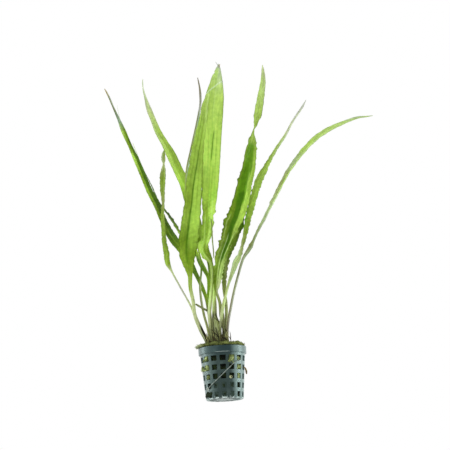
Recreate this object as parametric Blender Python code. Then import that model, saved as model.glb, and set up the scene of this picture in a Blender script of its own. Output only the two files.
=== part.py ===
"""A narrow-leaved water trumpet in a 50 mm net pot packed with green mineral wool.

Origin: centre of the pot's flat base. +Z is up, and -Y is the side that the photograph shows.
Sizes below are in millimetres and become metres in point().
"""

import math

import bmesh
import bpy
from mathutils import Matrix, Vector

MM = 0.001
GAP = 0.3                    # air left between two pieces that touch
WOOL_INSET = 1.5             # the plug is narrower than the pot and stands clear of the lattice

# Net pot, a moulded 50 mm cup with a lattice wall
RIM_RADIUS = 25.0
POT_HEIGHT = 54.0
COLLAR_BOTTOM = 47.1
WALL_TOP_RADIUS = 23.4       # outside, just under the collar
WALL_BOTTOM_RADIUS = 19.6
WALL_THICKNESS = 1.2
BASE_THICKNESS = 1.1
BASE_EDGE = 0.8              # rounding where the wall meets the base
COLLAR_EDGE = 0.4
COLUMNS = 15
ROWS = 5
WINDOW_HEIGHT = 5.6
WINDOW_PITCH = 9.35
WINDOW_TOP = 44.1            # upper edge of the highest row
BAR_WIDTH_TOP = 3.1
BAR_WIDTH_BOTTOM = 4.0
DISC_RADIUS = 8.0            # solid middle of the base
SLOT_OUTER_RADIUS = 16.2
SPOKE_WIDTH = 2.0

# Wool plug
TUFT_CLEARANCE = 0.3         # between a tuft and the four bars around it
SOCKET_GAP = 0.35            # between a leaf stalk and its hole in the wool
SOCKET_ROWS = 3              # a hole follows this many rows of its stalk

# Leaves
BLADE_THICKNESS = 0.9
STALK_THICKNESS = 2.8
SECTION_SIDES = 8
RING_SPACING = 13.5

ROOT_RADIUS = 0.5

# Tufts of wool that push out through the lattice, as (column, row, stand-out from the wall).
# Column 0 faces -Y, columns count towards +X, and row 0 is the highest.
TUFTS = [
    (-2, 0, 1.0), (-3, 1, 1.8), (-2, 1, 1.8), (-2, 2, 0.8),
    (1, 0, 1.6), (2, 1, 0.9), (2, 2, 0.3),
    (-1, 3, 0.0), (0, 3, 0.0), (1, 3, 0.0),
    (-1, 4, 0.0), (0, 4, 0.0), (1, 4, 0.0),
    (-3, 4, 0.7), (-2, 4, 0.7),
    (5, 1, 1.2), (7, 2, 1.4), (-6, 1, 1.0), (-5, 3, 0.8),
]

# Outline of the wool above the wall, as (radius, height), from the wall up to the middle
WOOL_CROWN = [(22.2, 54.4), (23.6, 55.3), (22.6, 57.4), (18.0, 58.6), (10.0, 58.9)]
# Swellings of the wool's top, as (x, y, rise, spread)
WOOL_LUMPS = [(15.0, -6.0, 2.4, 6.0), (-17.0, 8.0, 1.0, 7.0), (4.0, 15.0, 1.2, 6.0)]
LIP_DIRECTION = -80.0        # degrees from -Y: where the wool hangs over the rim
LIP_SPREAD = 26.0
LIP_REACH = 5.0

# Each leaf is (index of the row where the blade starts, rows). A row is the midrib's place
# (x, y, z), the flattened width, the way the face turns from -Y in degrees, and the angle that
# each half folds up by.
LEAVES = {
    "leaf_broad_front": (6, [
        (-16, -5, 50, 2.4, 0, 0), (-17.2, -6, 59, 2.4, 0, 0), (-21.4, -8, 74, 2.4, 0, 0),
        (-24.9, -10, 89, 2.4, 0, 0), (-27.1, -12, 103, 2.4, 0, 0), (-28.9, -14.5, 117, 2.5, 0, 0),
        (-29.1, -17, 129, 3, 0, 15), (-29.5, -18.5, 138, 8.5, 8, 22), (-30.9, -21, 150, 17.5, 14, 26),
        (-30.1, -24, 166, 23.5, 20, 26), (-27.4, -27.5, 185, 23, 22, 26), (-23.5, -30, 205, 21.5, 22, 26),
        (-20.4, -31.5, 224, 19, 7, 26), (-16.5, -32, 241, 16.5, -10, 28), (-12, -31.5, 260, 15.5, -28, 30),
        (-8.5, -31, 276, 13.5, -32, 30), (-5, -30.5, 294, 9.5, -30, 28), (-2, -30, 310, 5.5, -25, 22),
        (1, -29.5, 322, 0.7, -15, 10)]),
    "leaf_tallest": (6, [
        (-9.5, -6, 49.5, 2.6, 0, 0), (-9.5, -6.5, 59, 2.6, 0, 0), (-11, -8, 72.5, 2.6, 0, 0),
        (-11, -9.5, 88, 2.6, 0, 0), (-9, -10.5, 103.5, 2.7, 0, 0), (-7, -11, 120.5, 2.8, 0, 0),
        (-6.5, -10.5, 133, 3, 0, 10), (-8.5, -10, 144, 6.5, -15, 18), (-11.5, -10, 157, 10, -22, 20),
        (-11, -9.5, 169, 10.5, -5, 20), (-9.5, -9, 180.5, 12, 15, 20), (-7, -9, 195.5, 13, 20, 20),
        (-5.5, -8.5, 213, 16, 12, 18), (-3, -7.5, 232.5, 18.5, 6, 18), (-1, -6.5, 254.5, 19.5, 5, 16),
        (1.5, -5.5, 280.5, 20, 4, 15), (4, -4.5, 304, 21, 2, 15), (6.5, -4, 322.5, 20, 0, 15),
        (9, -3, 336, 15.5, 0, 14), (10.5, -2.5, 346, 11, 0, 12), (12, -2, 354, 6, 0, 10),
        (13, -1.5, 361, 0.7, 0, 8)]),
    "leaf_twisted_right": (5, [
        (-1, -3, 49.5, 2.4, 0, 0), (0.5, -3.5, 59, 2.4, 0, 0), (2.5, -4.5, 72.5, 2.4, 0, 0),
        (2, -5, 87, 2.4, 0, 0), (0, -7, 101.5, 2.5, 0, 0), (-2.5, -8.5, 113, 3, 0, 5),
        (-1, -10, 123.5, 8.5, -15, 18), (1.5, -12, 134.5, 10.5, -18, 22), (6, -15, 148.5, 12, -18, 25),
        (12.5, -18.5, 164.5, 15, -20, 25), (17.5, -21, 178.5, 18.5, -20, 25), (24.5, -23, 190.5, 18.5, -22, 25),
        (30, -25, 207, 18, -24, 25), (34, -25.5, 222, 16, -15, 25), (37.5, -26, 237, 14, 5, 25),
        (40, -26.5, 252, 13.5, 30, 22), (42, -27, 265.5, 13, 55, 15), (44.5, -27, 276.5, 10, 80, 10),
        (48, -27, 284.5, 8, 112, 8), (50, -26.5, 295.5, 10.5, 138, 15), (53, -26, 308.5, 9, 142, 15),
        (56, -25.5, 321.5, 7, 145, 15), (58.5, -25, 333.5, 4.5, 150, 12), (59, -24.5, 343.5, 1.9, 150, 8),
        (59, -24, 350.5, 0.7, 150, 8)]),
    "leaf_short_right": (5, [
        (2.5, 2, 50, 2.4, 0, 0), (3, 2.5, 59.5, 2.4, 0, 0), (4.5, 3, 73.5, 2.4, 0, 0),
        (6, 4, 89, 2.4, 0, 0), (6.5, 5, 103, 2.4, 0, 0), (6, 6.5, 112, 2.4, 0, 5),
        (6, 8, 123, 3.5, 10, 15), (6.5, 10, 138.5, 5.5, 15, 20), (10, 11.5, 153.5, 7, 15, 22),
        (15, 13, 166.5, 8, 15, 22), (20.5, 14.5, 179.5, 9.5, 15, 22), (26, 15, 194.5, 9.5, 15, 22),
        (31, 15, 210.5, 7.5, 5, 22), (35.5, 14.5, 226.5, 5, 0, 20), (40, 13.5, 243.5, 3, 0, 15),
        (42.5, 13, 256.5, 0.7, 0, 10)]),
    "leaf_narrow_right": (6, [
        (-2, -7, 49, 2.2, 0, 0), (-1.5, -7.5, 58.5, 2.2, 0, 0), (-1, -8.5, 71, 2.2, 0, 0),
        (1, -10, 85.5, 2.2, 0, 0), (4, -10, 99, 2.2, 0, 0), (8.5, -9.5, 111, 2.2, 0, 0),
        (12, -9, 121, 2.5, 20, 5), (16.5, -8.5, 132.5, 5, 35, 15), (19.5, -7.5, 142, 9, 38, 20),
        (23, -6.5, 149.5, 8.5, 42, 22), (27.5, -5, 160.5, 5.5, 50, 25), (31, -3, 173.5, 7, 50, 25),
        (34, 0, 188, 7.5, 48, 25), (38, 4, 203.5, 9.5, 40, 25), (42.5, 8, 219.5, 9.5, 42, 25),
        (47.5, 12, 234.5, 10, 42, 25), (54, 15.5, 245.5, 8, 46, 22), (60.5, 18.5, 256, 5.5, 52, 20),
        (71, 23, 271, 5, 56, 20), (81.5, 27.5, 286, 4.5, 58, 18), (91.5, 33, 303, 3.5, 58, 12),
        (101, 37, 317, 3, 50, 8), (105.5, 39.5, 326.5, 0.7, 50, 5)]),
    "leaf_arching_right": (7, [
        (5.5, -1, 49.5, 2.3, 0, 0), (6, -1.5, 59, 2.3, 0, 0), (7.5, -3, 76.5, 2.3, 0, 0),
        (11.5, -5, 95, 2.3, 0, 0), (15.5, -7, 111.5, 2.2, 0, 0), (21, -10.5, 130.5, 2.2, 0, 0),
        (27.5, -14.5, 144.5, 2.4, -30, 5), (33.5, -16, 153, 4.5, -40, 12), (36.5, -16.5, 157, 6, -42, 15),
        (39.5, -17.5, 162.5, 4, -45, 15), (45.5, -19, 173, 4.5, -48, 16), (52.5, -20.5, 182, 6, -50, 20),
        (59.5, -23, 196, 5.5, -50, 20), (64, -24.5, 204.5, 7.5, -50, 20), (74.5, -27.5, 223, 7.5, -50, 20),
        (83.5, -31, 235.5, 9, -50, 20), (98, -34.5, 252, 10, -52, 20), (112, -38, 263.5, 11, -52, 20),
        (125.5, -40.5, 271.5, 9, -50, 18), (140, -42, 277.5, 6, -50, 15), (154, -43, 282, 4, -50, 12),
        (163.5, -44, 283, 2, -50, 8), (170.5, -44, 283.5, 0.7, -50, 5)]),
    "leaf_arching_left": (7, [
        (-5.5, 0.5, 50.5, 3.4, 0, 0), (-4.5, 0.5, 58.5, 7.5, 0, 8), (-4, 1, 68, 9, 0, 10),
        (-4.5, 2, 79, 8.5, 0, 10), (-5.5, 3, 88.5, 4.5, 0, 5), (-6, 5, 101.5, 2.8, 0, 0),
        (-5.5, 7.5, 117, 3, 0, 0), (-7, 9, 132.5, 3.5, 0, 5), (-10, 11.5, 150, 7, 10, 12),
        (-16.5, 14, 170.5, 10, 12, 16), (-21.5, 17.5, 195.5, 10.5, 12, 16), (-26.5, 21, 218, 12, 14, 16),
        (-30.5, 23.5, 235.5, 11.5, 15, 16), (-37.5, 26, 253, 10, 15, 15), (-44, 28, 270.5, 10, 15, 14),
        (-50.5, 30, 284.5, 7, 12, 14), (-56.5, 31, 297.5, 5.5, 10, 12), (-61.5, 32, 310.5, 5, 10, 12),
        (-65.5, 33, 323.5, 4.5, 8, 10), (-69, 34, 337.5, 3, 0, 8), (-70.5, 34.5, 349, 1.6, 0, 4),
        (-71, 35, 359, 0.7, 0, 2)]),
    "leaf_outer_left": (6, [
        (-10, 6, 51.5, 2.4, 0, 0), (-10, 6.5, 61, 2.4, 0, 0), (-11, 8.5, 76, 2.4, 0, 0),
        (-12.5, 11, 94.5, 2.4, 0, 0), (-14.5, 12.5, 109, 2.4, 0, 0), (-17.5, 14.5, 122.5, 2.4, 0, 0),
        (-22.5, 17, 137.5, 2.6, 0, 5), (-33.5, 19.5, 161.5, 7, 0, 22), (-45, 21.5, 178, 9, 5, 36),
        (-52.5, 24, 196, 11, 0, 44), (-60, 27, 214, 12, -3, 46), (-66.5, 30, 231.5, 12, -5, 48),
        (-73, 33, 250, 11.5, -5, 50), (-80, 36.5, 269, 10, -5, 50), (-86, 39.5, 286, 8, -5, 48),
        (-93.5, 42, 301.5, 7, 0, 45), (-99, 44.5, 317, 3, 0, 30), (-104.5, 46.5, 331.5, 1.5, 0, 10),
        (-109, 49, 344.5, 1.6, 0, 0), (-114, 51, 355, 0.8, 0, 0)]),
    "leaf_edge_on_left": (7, [
        (-8, 10, 51.5, 2.4, 0, 0), (-8, 10.5, 61.5, 2.4, 0, 0), (-9.5, 13, 77.5, 2.4, 0, 0),
        (-11, 16, 94, 2.6, 0, 0), (-12, 18.5, 107.5, 3.4, 0, 10), (-11.5, 21, 122, 3.6, 10, 10),
        (-12, 23, 134.5, 3.4, 20, 10), (-16.5, 26, 148, 5, 40, 15), (-24, 29, 164, 7.5, 65, 15),
        (-36.5, 34, 185.5, 9, 72, 15), (-47.5, 38, 204.5, 9, 75, 15), (-60.5, 42, 223.5, 7.5, 75, 15),
        (-68.5, 46, 241.5, 6, 75, 15), (-74.5, 49, 257.5, 5, 75, 12), (-79, 52, 272, 4, 75, 10),
        (-83, 54, 284, 2.5, 70, 5), (-86, 55, 293, 0.7, 70, 3)]),
    "leaf_low_left": (7, [
        (-15, -1, 50.5, 2.2, 0, 0), (-15, -1.5, 60, 2.2, 0, 0), (-20.5, -3, 72.5, 2.2, 0, 0),
        (-25.5, -5, 85.5, 2.2, 0, 0), (-30, -7, 99, 2.2, 0, 0), (-38.5, -11, 116.5, 2, 0, 0),
        (-47.5, -15, 135.5, 2.2, -20, 5), (-51, -17, 144.5, 7, -35, 15), (-52, -19.5, 154.5, 7.5, -35, 20),
        (-53.5, -22, 165.5, 6.5, -40, 20), (-54, -24.5, 180, 5.5, -45, 18), (-53.5, -26, 194.5, 5.5, -55, 15),
        (-53, -27, 207.5, 4.5, -60, 12), (-52.5, -28, 220, 5.5, -40, 16), (-52, -28.5, 233.5, 6.5, -30, 18),
        (-51, -29, 243, 4.5, -35, 15), (-50.5, -29.5, 247, 2, -50, 8), (-50.5, -29.5, 251.5, 3, -30, 10),
        (-50, -30, 258, 2.5, -30, 8), (-49, -30, 263, 0.7, -30, 5)]),
    "leaf_dried": (9, [
        (-12.5, 3, 51, 1.8, 0, 0), (-11.5, 3, 60.5, 1.8, 0, 0), (-13.5, 3, 76.5, 1.7, 0, 0),
        (-16.5, 4, 90.5, 1.7, 0, 0), (-18.5, 5, 105.5, 1.6, 0, 0), (-19, 5.5, 122, 1.5, 0, 0),
        (-17.5, 4.5, 141, 1.5, 0, 0), (-20, 2.5, 165, 1.6, 0, 0), (-25, 0, 192, 1.8, 0, 0),
        (-29, -3, 218.5, 2.2, -20, 10), (-28, -5.5, 243, 2.8, -30, 15), (-22, -8, 266.5, 2.6, -30, 15),
        (-14, -10.5, 293, 2.3, -20, 10), (-9, -12, 313.5, 1.7, 0, 5), (-8, -12.5, 325.5, 2.2, 0, 10),
        (-8.5, -13, 334, 1.3, 0, 5), (-10.5, -13.5, 343.5, 0.7, 0, 0)]),
}

# A dead leaf stalk, bent over from the crown until it leans against the broad leaf's stalk,
# as (x, y, z, diameter)
DEAD_STALK = [(-12.5, -1.5, 50.5, 1.3), (-12, -2, 60, 1.3), (-11.5, -4, 78, 1.2), (-11.5, -5.5, 89, 1.2),
              (-13, -6.5, 93.5, 1.2), (-18, -8, 96.5, 1.1), (-24, -9.5, 100.5, 0.8)]

# The pale root that lies across the front of the pot, as (degrees from -Y, height, stand-off).
# A negative stand-off is inside a window.
OUTER_ROOT = [(54, 40.6, -0.6), (52, 38.8, 0.4), (46, 38.2, 0.5), (40, 37.8, 0.5), (32, 36.2, 0.5),
              (25, 34, 0.5), (17, 31, 0.5), (10, 28.6, 0.5), (3, 26, 0.5), (-4, 23.6, 0.5),
              (-12, 21, 0.5), (-20, 18.5, 0.5), (-29, 16.1, 0.5), (-39, 13.5, 0.5), (-45, 12.2, 0.4),
              (-50, 11.4, 0.4)]
# A short dry root that sticks out of a window on the +X side
DRY_ROOT = [(72, 32.6, -0.6), (76, 32, 0.6), (81, 30.6, 2.0), (86, 28.4, 3.0), (90, 26, 3.6)]
# A cut root seen end on in a window
CUT_ROOT_ANGLE = 21.5
CUT_ROOT_HEIGHT = 21.6
CUT_ROOT_RADIUS = 1.3
CUT_ROOT_BORE = 0.55
CUT_ROOT_BORE_DEPTH = 1.2
CUT_ROOT_STAND_OUT = 0.8


def point(x, y, z):
    """A place given in millimetres, as metres."""
    return Vector((x, y, z)) * MM


def around(radius, degrees, z):
    """A place at this radius from the pot's axis, degrees from -Y towards +X."""
    turn = math.radians(degrees)
    return point(radius * math.sin(turn), -radius * math.cos(turn), z)


def wall_radius(z):
    """Outside radius of the pot's tapered wall."""
    return WALL_BOTTOM_RADIUS + (WALL_TOP_RADIUS - WALL_BOTTOM_RADIUS) * z / COLLAR_BOTTOM


def plastic_like(name, colour, roughness):
    """A Principled material of one colour."""
    material = bpy.data.materials.new(name)
    material.use_nodes = True
    shader = material.node_tree.nodes["Principled BSDF"]
    shader.inputs["Base Color"].default_value = (*colour, 1.0)
    shader.inputs["Roughness"].default_value = roughness
    return material


def add_object(name, bm, material, smooth=True):
    """Turn a bmesh into a named object, its faces pointing out."""
    bmesh.ops.recalc_face_normals(bm, faces=bm.faces)
    mesh = bpy.data.meshes.new(name)
    bm.to_mesh(mesh)
    bm.free()
    mesh.materials.append(material)
    if smooth:
        mesh.shade_smooth()
    obj = bpy.data.objects.new(name, mesh)
    bpy.context.collection.objects.link(obj)
    return obj


def join_rings(bm, lower, upper):
    """Quads between two closed rings of vertices."""
    count = len(lower)
    for i in range(count):
        j = (i + 1) % count
        bm.faces.new((lower[i], lower[j], upper[j], upper[i]))


def join_sections(bm, lower, upper):
    """Triangles between two lens sections, with the same diagonals on both sides of the blade."""
    count = len(lower)
    for i in range(count):
        j = (i + 1) % count
        if i < count // 2:
            bm.faces.new((lower[i], lower[j], upper[j]))
            bm.faces.new((lower[i], upper[j], upper[i]))
        else:
            bm.faces.new((lower[i], lower[j], upper[i]))
            bm.faces.new((lower[j], upper[j], upper[i]))


def window_levels():
    """Lower and upper edge of each window row, from the lowest row up."""
    levels = []
    for row in reversed(range(ROWS)):
        top = WINDOW_TOP - row * WINDOW_PITCH
        levels.append((top - WINDOW_HEIGHT, top))
    return levels


def bar_half_angle(z):
    """Half the angle that a vertical bar of the lattice takes up at this height."""
    width = BAR_WIDTH_BOTTOM + (BAR_WIDTH_TOP - BAR_WIDTH_BOTTOM) * z / COLLAR_BOTTOM
    return math.degrees(width / (2 * wall_radius(z)))


def lattice_angles(half_bar):
    """Angles of the window edges all the way round: even gaps are windows, odd ones bars."""
    pitch = 360.0 / COLUMNS
    angles = []
    for column in range(COLUMNS):
        half_window = pitch / 2 - half_bar
        angles.append(column * pitch - half_window)
        angles.append(column * pitch + half_window)
    return angles


def lattice_ring(bm, radius, z, half_bar=None):
    """One ring of vertices at the window edges."""
    if half_bar is None:
        half_bar = bar_half_angle(z)
    return [bm.verts.new(around(radius, angle, z)) for angle in lattice_angles(half_bar)]


def join_lattice(bm, lower, upper, open_windows):
    """Quads between two lattice rings, leaving out the windows where they are open."""
    count = 2 * COLUMNS
    for i in range(count):
        if open_windows and i % 2 == 0:
            continue
        j = (i + 1) % count
        bm.faces.new((lower[i], lower[j], upper[j], upper[i]))


def line_windows(bm, outer_low, outer_high, inner_low, inner_high):
    """The four cut faces of every window in one row, through the wall's thickness."""
    for column in range(COLUMNS):
        i = 2 * column
        j = i + 1
        outside = [outer_low[i], outer_low[j], outer_high[j], outer_high[i]]
        inside = [inner_low[i], inner_low[j], inner_high[j], inner_high[i]]
        for k in range(4):
            n = (k + 1) % 4
            bm.faces.new((outside[k], outside[n], inside[n], inside[k]))


def build_pot(material):
    """The net pot: lattice wall, collar, and a base with slots between spokes."""
    bm = bmesh.new()
    rows = window_levels()
    spoke_half_outer = math.degrees(SPOKE_WIDTH / (2 * SLOT_OUTER_RADIUS))
    spoke_half_inner = math.degrees(SPOKE_WIDTH / (2 * DISC_RADIUS))

    def wall(inset):
        """The rings of one side of the wall, low and high for each row of windows."""
        return [[lattice_ring(bm, wall_radius(z) - inset, z) for z in row] for row in rows]

    outer = wall(0.0)
    inner = wall(WALL_THICKNESS)
    for row in range(ROWS):
        for side in (outer, inner):
            join_lattice(bm, side[row][0], side[row][1], open_windows=True)
            if row:
                join_lattice(bm, side[row - 1][1], side[row][0], open_windows=False)
        line_windows(bm, outer[row][0], outer[row][1], inner[row][0], inner[row][1])

    half_bar = bar_half_angle(COLLAR_BOTTOM)
    rim_inner_radius = WALL_TOP_RADIUS - WALL_THICKNESS + 0.4
    collar = [
        (wall_radius(COLLAR_BOTTOM), COLLAR_BOTTOM),
        (RIM_RADIUS - COLLAR_EDGE, COLLAR_BOTTOM),
        (RIM_RADIUS, COLLAR_BOTTOM + COLLAR_EDGE),
        (RIM_RADIUS, POT_HEIGHT - COLLAR_EDGE),
        (RIM_RADIUS - COLLAR_EDGE, POT_HEIGHT),
        (rim_inner_radius, POT_HEIGHT),
    ]
    below = outer[-1][1]
    for radius, z in collar:
        ring = lattice_ring(bm, radius, z, half_bar)
        join_rings(bm, below, ring)
        below = ring
    join_rings(bm, below, inner[-1][1])

    edge_ring = lattice_ring(bm, WALL_BOTTOM_RADIUS - BASE_EDGE, 0.0)
    join_rings(bm, outer[0][0], edge_ring)
    under = [
        edge_ring,
        lattice_ring(bm, SLOT_OUTER_RADIUS, 0.0, spoke_half_outer),
        lattice_ring(bm, DISC_RADIUS, 0.0, spoke_half_inner),
    ]
    floor = [
        inner[0][0],
        lattice_ring(bm, SLOT_OUTER_RADIUS, BASE_THICKNESS, spoke_half_outer),
        lattice_ring(bm, DISC_RADIUS, BASE_THICKNESS, spoke_half_inner),
    ]
    for side in (under, floor):
        join_lattice(bm, side[0], side[1], open_windows=False)
        join_lattice(bm, side[1], side[2], open_windows=True)
        bm.faces.new(side[2])
    line_windows(bm, under[1], under[2], floor[1], floor[2])
    return add_object("net_pot", bm, material, smooth=False)


def push_out_tufts(bm, cells):
    """Let the wool bulge through the windows listed in TUFTS."""
    for column, row, stand_out in TUFTS:
        face = cells[(column % COLUMNS, row)]
        bmesh.ops.inset_individual(bm, faces=[face], thickness=TUFT_CLEARANCE * MM)
        middle = face.calc_center_median()
        start = math.hypot(middle.x, middle.y)
        reach = (wall_radius(middle.z / MM) + stand_out) * MM
        for share, scale in ((0.75, 1.0), (1.0, 0.62)):
            grown = bmesh.ops.extrude_discrete_faces(bm, faces=[face])["faces"]
            face = grown[0]
            radius = start + (reach - start) * share
            for vert in face.verts:
                offset = vert.co - middle
                now = math.hypot(vert.co.x, vert.co.y)
                vert.co.x *= radius / now
                vert.co.y *= radius / now
                if scale < 1.0:
                    along = Vector((middle.x, middle.y, 0)).normalized() * radius
                    centre = Vector((along.x, along.y, middle.z))
                    vert.co = centre + (vert.co - centre) * scale
                else:
                    vert.co.z = middle.z + offset.z


def lip(degrees):
    """How far the wool hangs over the rim in this direction."""
    away = (degrees - LIP_DIRECTION + 180.0) % 360.0 - 180.0
    return LIP_REACH * math.exp(-(away / LIP_SPREAD) ** 2)


def lump(x, y):
    """Rise of the wool's top here."""
    total = 0.0
    for centre_x, centre_y, rise, spread in WOOL_LUMPS:
        away = math.hypot(x - centre_x, y - centre_y)
        total += rise * math.exp(-(away / spread) ** 2)
    return total


def crown_ring(bm, radius, z, share_of_lip):
    """One ring of the wool's top, with its lip and lumps."""
    ring = []
    for angle in lattice_angles(bar_half_angle(COLLAR_BOTTOM)):
        place = around(radius + share_of_lip * lip(angle), angle, z)
        if z > POT_HEIGHT + 1:
            place.z += lump(place.x / MM, place.y / MM) * MM
        ring.append(bm.verts.new(place))
    return ring


def build_wool(material):
    """The plug of mineral wool, without the holes for the leaf stalks."""
    bm = bmesh.new()
    inset = WALL_THICKNESS + WOOL_INSET
    cells = {}
    bottom = [bm.verts.new(v) for v in
              [around(13.5, angle, BASE_THICKNESS + GAP) for angle in lattice_angles(5.0)]]
    bm.faces.new(bottom)
    below = bottom
    for level, (low, high) in enumerate(window_levels()):
        row = ROWS - 1 - level
        for z in (low, high):
            rounding = 2.2 * max(0.0, 1.0 - z / WINDOW_PITCH) ** 2
            height = max(z, BASE_THICKNESS + GAP + 0.5)
            ring = lattice_ring(bm, wall_radius(z) - inset - rounding, height)
            count = len(ring)
            for i in range(count):
                j = (i + 1) % count
                face = bm.faces.new((below[i], below[j], ring[j], ring[i]))
                if z == high and i % 2 == 0:
                    cells[(i // 2, row)] = face
            below = ring
    neck = lattice_ring(bm, WALL_TOP_RADIUS - inset, COLLAR_BOTTOM)
    join_rings(bm, below, neck)
    below = neck
    for step, (radius, z) in enumerate(WOOL_CROWN):
        share = (0.0, 1.0, 0.8, 0.3, 0.0)[step]
        ring = crown_ring(bm, radius, z, share)
        join_rings(bm, below, ring)
        below = ring
    bm.faces.new(below)
    bmesh.ops.recalc_face_normals(bm, faces=bm.faces)
    push_out_tufts(bm, cells)
    bmesh.ops.triangulate(bm, faces=bm.faces)
    return add_object("wool_plug", bm, material)


def spline(rows, t):
    """Catmull-Rom value at t, where whole numbers are the rows."""
    last = len(rows) - 1
    i = min(int(t), last - 1)
    f = t - i
    p0, p1, p2, p3 = (rows[max(0, min(last, k))] for k in (i - 1, i, i + 1, i + 2))
    return 0.5 * (2 * p1 + (p2 - p0) * f + (2 * p0 - 5 * p1 + 4 * p2 - p3) * f * f
                  + (3 * p1 - p0 - 3 * p2 + p3) * f ** 3)


def straight(values, t):
    """Value between two rows in a straight line."""
    i = min(int(t), len(values) - 2)
    return values[i] + (values[i + 1] - values[i]) * (t - i)


def ring_steps(places, spacing):
    """Spline positions about this far apart, always with the first two rows and the last."""
    steps = [0.0, 1.0]
    walked = 0.0
    last = len(places) - 1
    samples = 12 * last
    before = places[1]
    for k in range(13, samples + 1):
        here = spline(places, last * k / samples)
        walked += (here - before).length
        before = here
        if walked >= spacing * MM:
            steps.append(last * k / samples)
            walked = 0.0
    if walked < 0.4 * spacing * MM:
        steps.pop()
    steps.append(float(last))
    return steps


def frame_at(places, t, turn):
    """Place, side and face direction of a leaf at t."""
    last = len(places) - 1
    ahead = spline(places, min(last, t + 0.05)) - spline(places, max(0.0, t - 0.05))
    ahead.normalize()
    towards = Vector((0, -1, 0))
    face = (towards - ahead * towards.dot(ahead)).normalized()
    face = Matrix.Rotation(math.radians(turn), 3, ahead) @ face
    return spline(places, t), ahead.cross(face), face


def sweep(rows, thicknesses, extra=0.0, spacing=RING_SPACING):
    """A closed solid with a lens section that folds up at both sides of its midrib."""
    bm = bmesh.new()
    places = [point(*row[:3]) for row in rows]
    rings = []
    for t in ring_steps(places, spacing):
        width = (straight([row[3] for row in rows], t) + 2 * extra) * MM
        turn = straight([row[4] for row in rows], t)
        fold = math.radians(straight([row[5] for row in rows], t))
        thick = (straight(thicknesses, t) + 2 * extra) * MM
        centre, side, face = frame_at(places, t, turn)
        ring = []
        for k in range(SECTION_SIDES):
            angle = 2 * math.pi * k / SECTION_SIDES
            across = math.cos(angle) * width / 2
            up = math.sin(angle) * thick / 2
            place = centre + side * across * math.cos(fold)
            place += face * (abs(across) * math.sin(fold) + up)
            ring.append(bm.verts.new(place))
        rings.append(ring)
    for lower, upper in zip(rings, rings[1:]):
        join_sections(bm, lower, upper)
    bm.faces.new(rings[0])
    bm.faces.new(rings[-1])
    return bm


def leaf_thicknesses(blade_from, rows):
    """Round stalk below the blade, thin leaf above."""
    limits = [STALK_THICKNESS] * blade_from + [BLADE_THICKNESS] * (len(rows) - blade_from)
    return [min(row[3], limit) for row, limit in zip(rows, limits)]


def root_rows(route, diameter):
    """Turn (degrees, height, stand-off) around the pot into rows for sweep()."""
    rows = []
    for degrees, z, stand_off in route:
        place = around(wall_radius(z) + stand_off + ROOT_RADIUS, degrees, z) / MM
        rows.append((place.x, place.y, place.z, diameter, 0, 0))
    return rows


def build_root(name, route, material):
    """A thin round root that follows a route on the pot."""
    rows = root_rows(route, 2 * ROOT_RADIUS)
    bm = sweep(rows, [2 * ROOT_RADIUS] * len(rows), spacing=4.0)
    return add_object(name, bm, material)


def build_cut_root(material):
    """A short hollow stub that points straight out of its window."""
    bm = bmesh.new()
    outward = around(1.0, CUT_ROOT_ANGLE, 0.0).normalized()
    side = outward.cross(Vector((0, 0, 1)))
    tip = wall_radius(CUT_ROOT_HEIGHT) + CUT_ROOT_STAND_OUT
    start = wall_radius(CUT_ROOT_HEIGHT) - WALL_THICKNESS + 0.1
    outline = [(start, CUT_ROOT_RADIUS), (tip - 0.2, CUT_ROOT_RADIUS), (tip, CUT_ROOT_RADIUS - 0.2),
               (tip, CUT_ROOT_BORE + 0.1), (tip - CUT_ROOT_BORE_DEPTH, CUT_ROOT_BORE)]
    rings = []
    for distance, radius in outline:
        ring = []
        for k in range(12):
            angle = 2 * math.pi * k / 12
            place = outward * distance + side * radius * math.cos(angle)
            place += Vector((0, 0, CUT_ROOT_HEIGHT + radius * math.sin(angle)))
            ring.append(bm.verts.new(place * MM))
        rings.append(ring)
    for lower, upper in zip(rings, rings[1:]):
        join_rings(bm, lower, upper)
    bm.faces.new(rings[0])
    bm.faces.new(rings[-1])
    return add_object("cut_root", bm, material)


def cut_sockets(wool, stalks):
    """Cut a close hole in the wool for every leaf stalk."""
    for name, rows in stalks:
        first = rows[0]
        foot = (first[0], first[1], first[2] - SOCKET_GAP) + tuple(first[3:])
        cutter_rows = [foot] + list(rows[1:SOCKET_ROWS])
        thick = [min(row[3], STALK_THICKNESS) for row in cutter_rows]
        bm = sweep(cutter_rows, thick, extra=SOCKET_GAP, spacing=6.0)
        cutter = add_object("socket_" + name, bm, wool.data.materials[0])
        cutter.hide_render = True
        cutter.display_type = "WIRE"
        modifier = wool.modifiers.new("socket_" + name, "BOOLEAN")
        modifier.operation = "DIFFERENCE"
        modifier.solver = "EXACT"
        modifier.object = cutter


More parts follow.
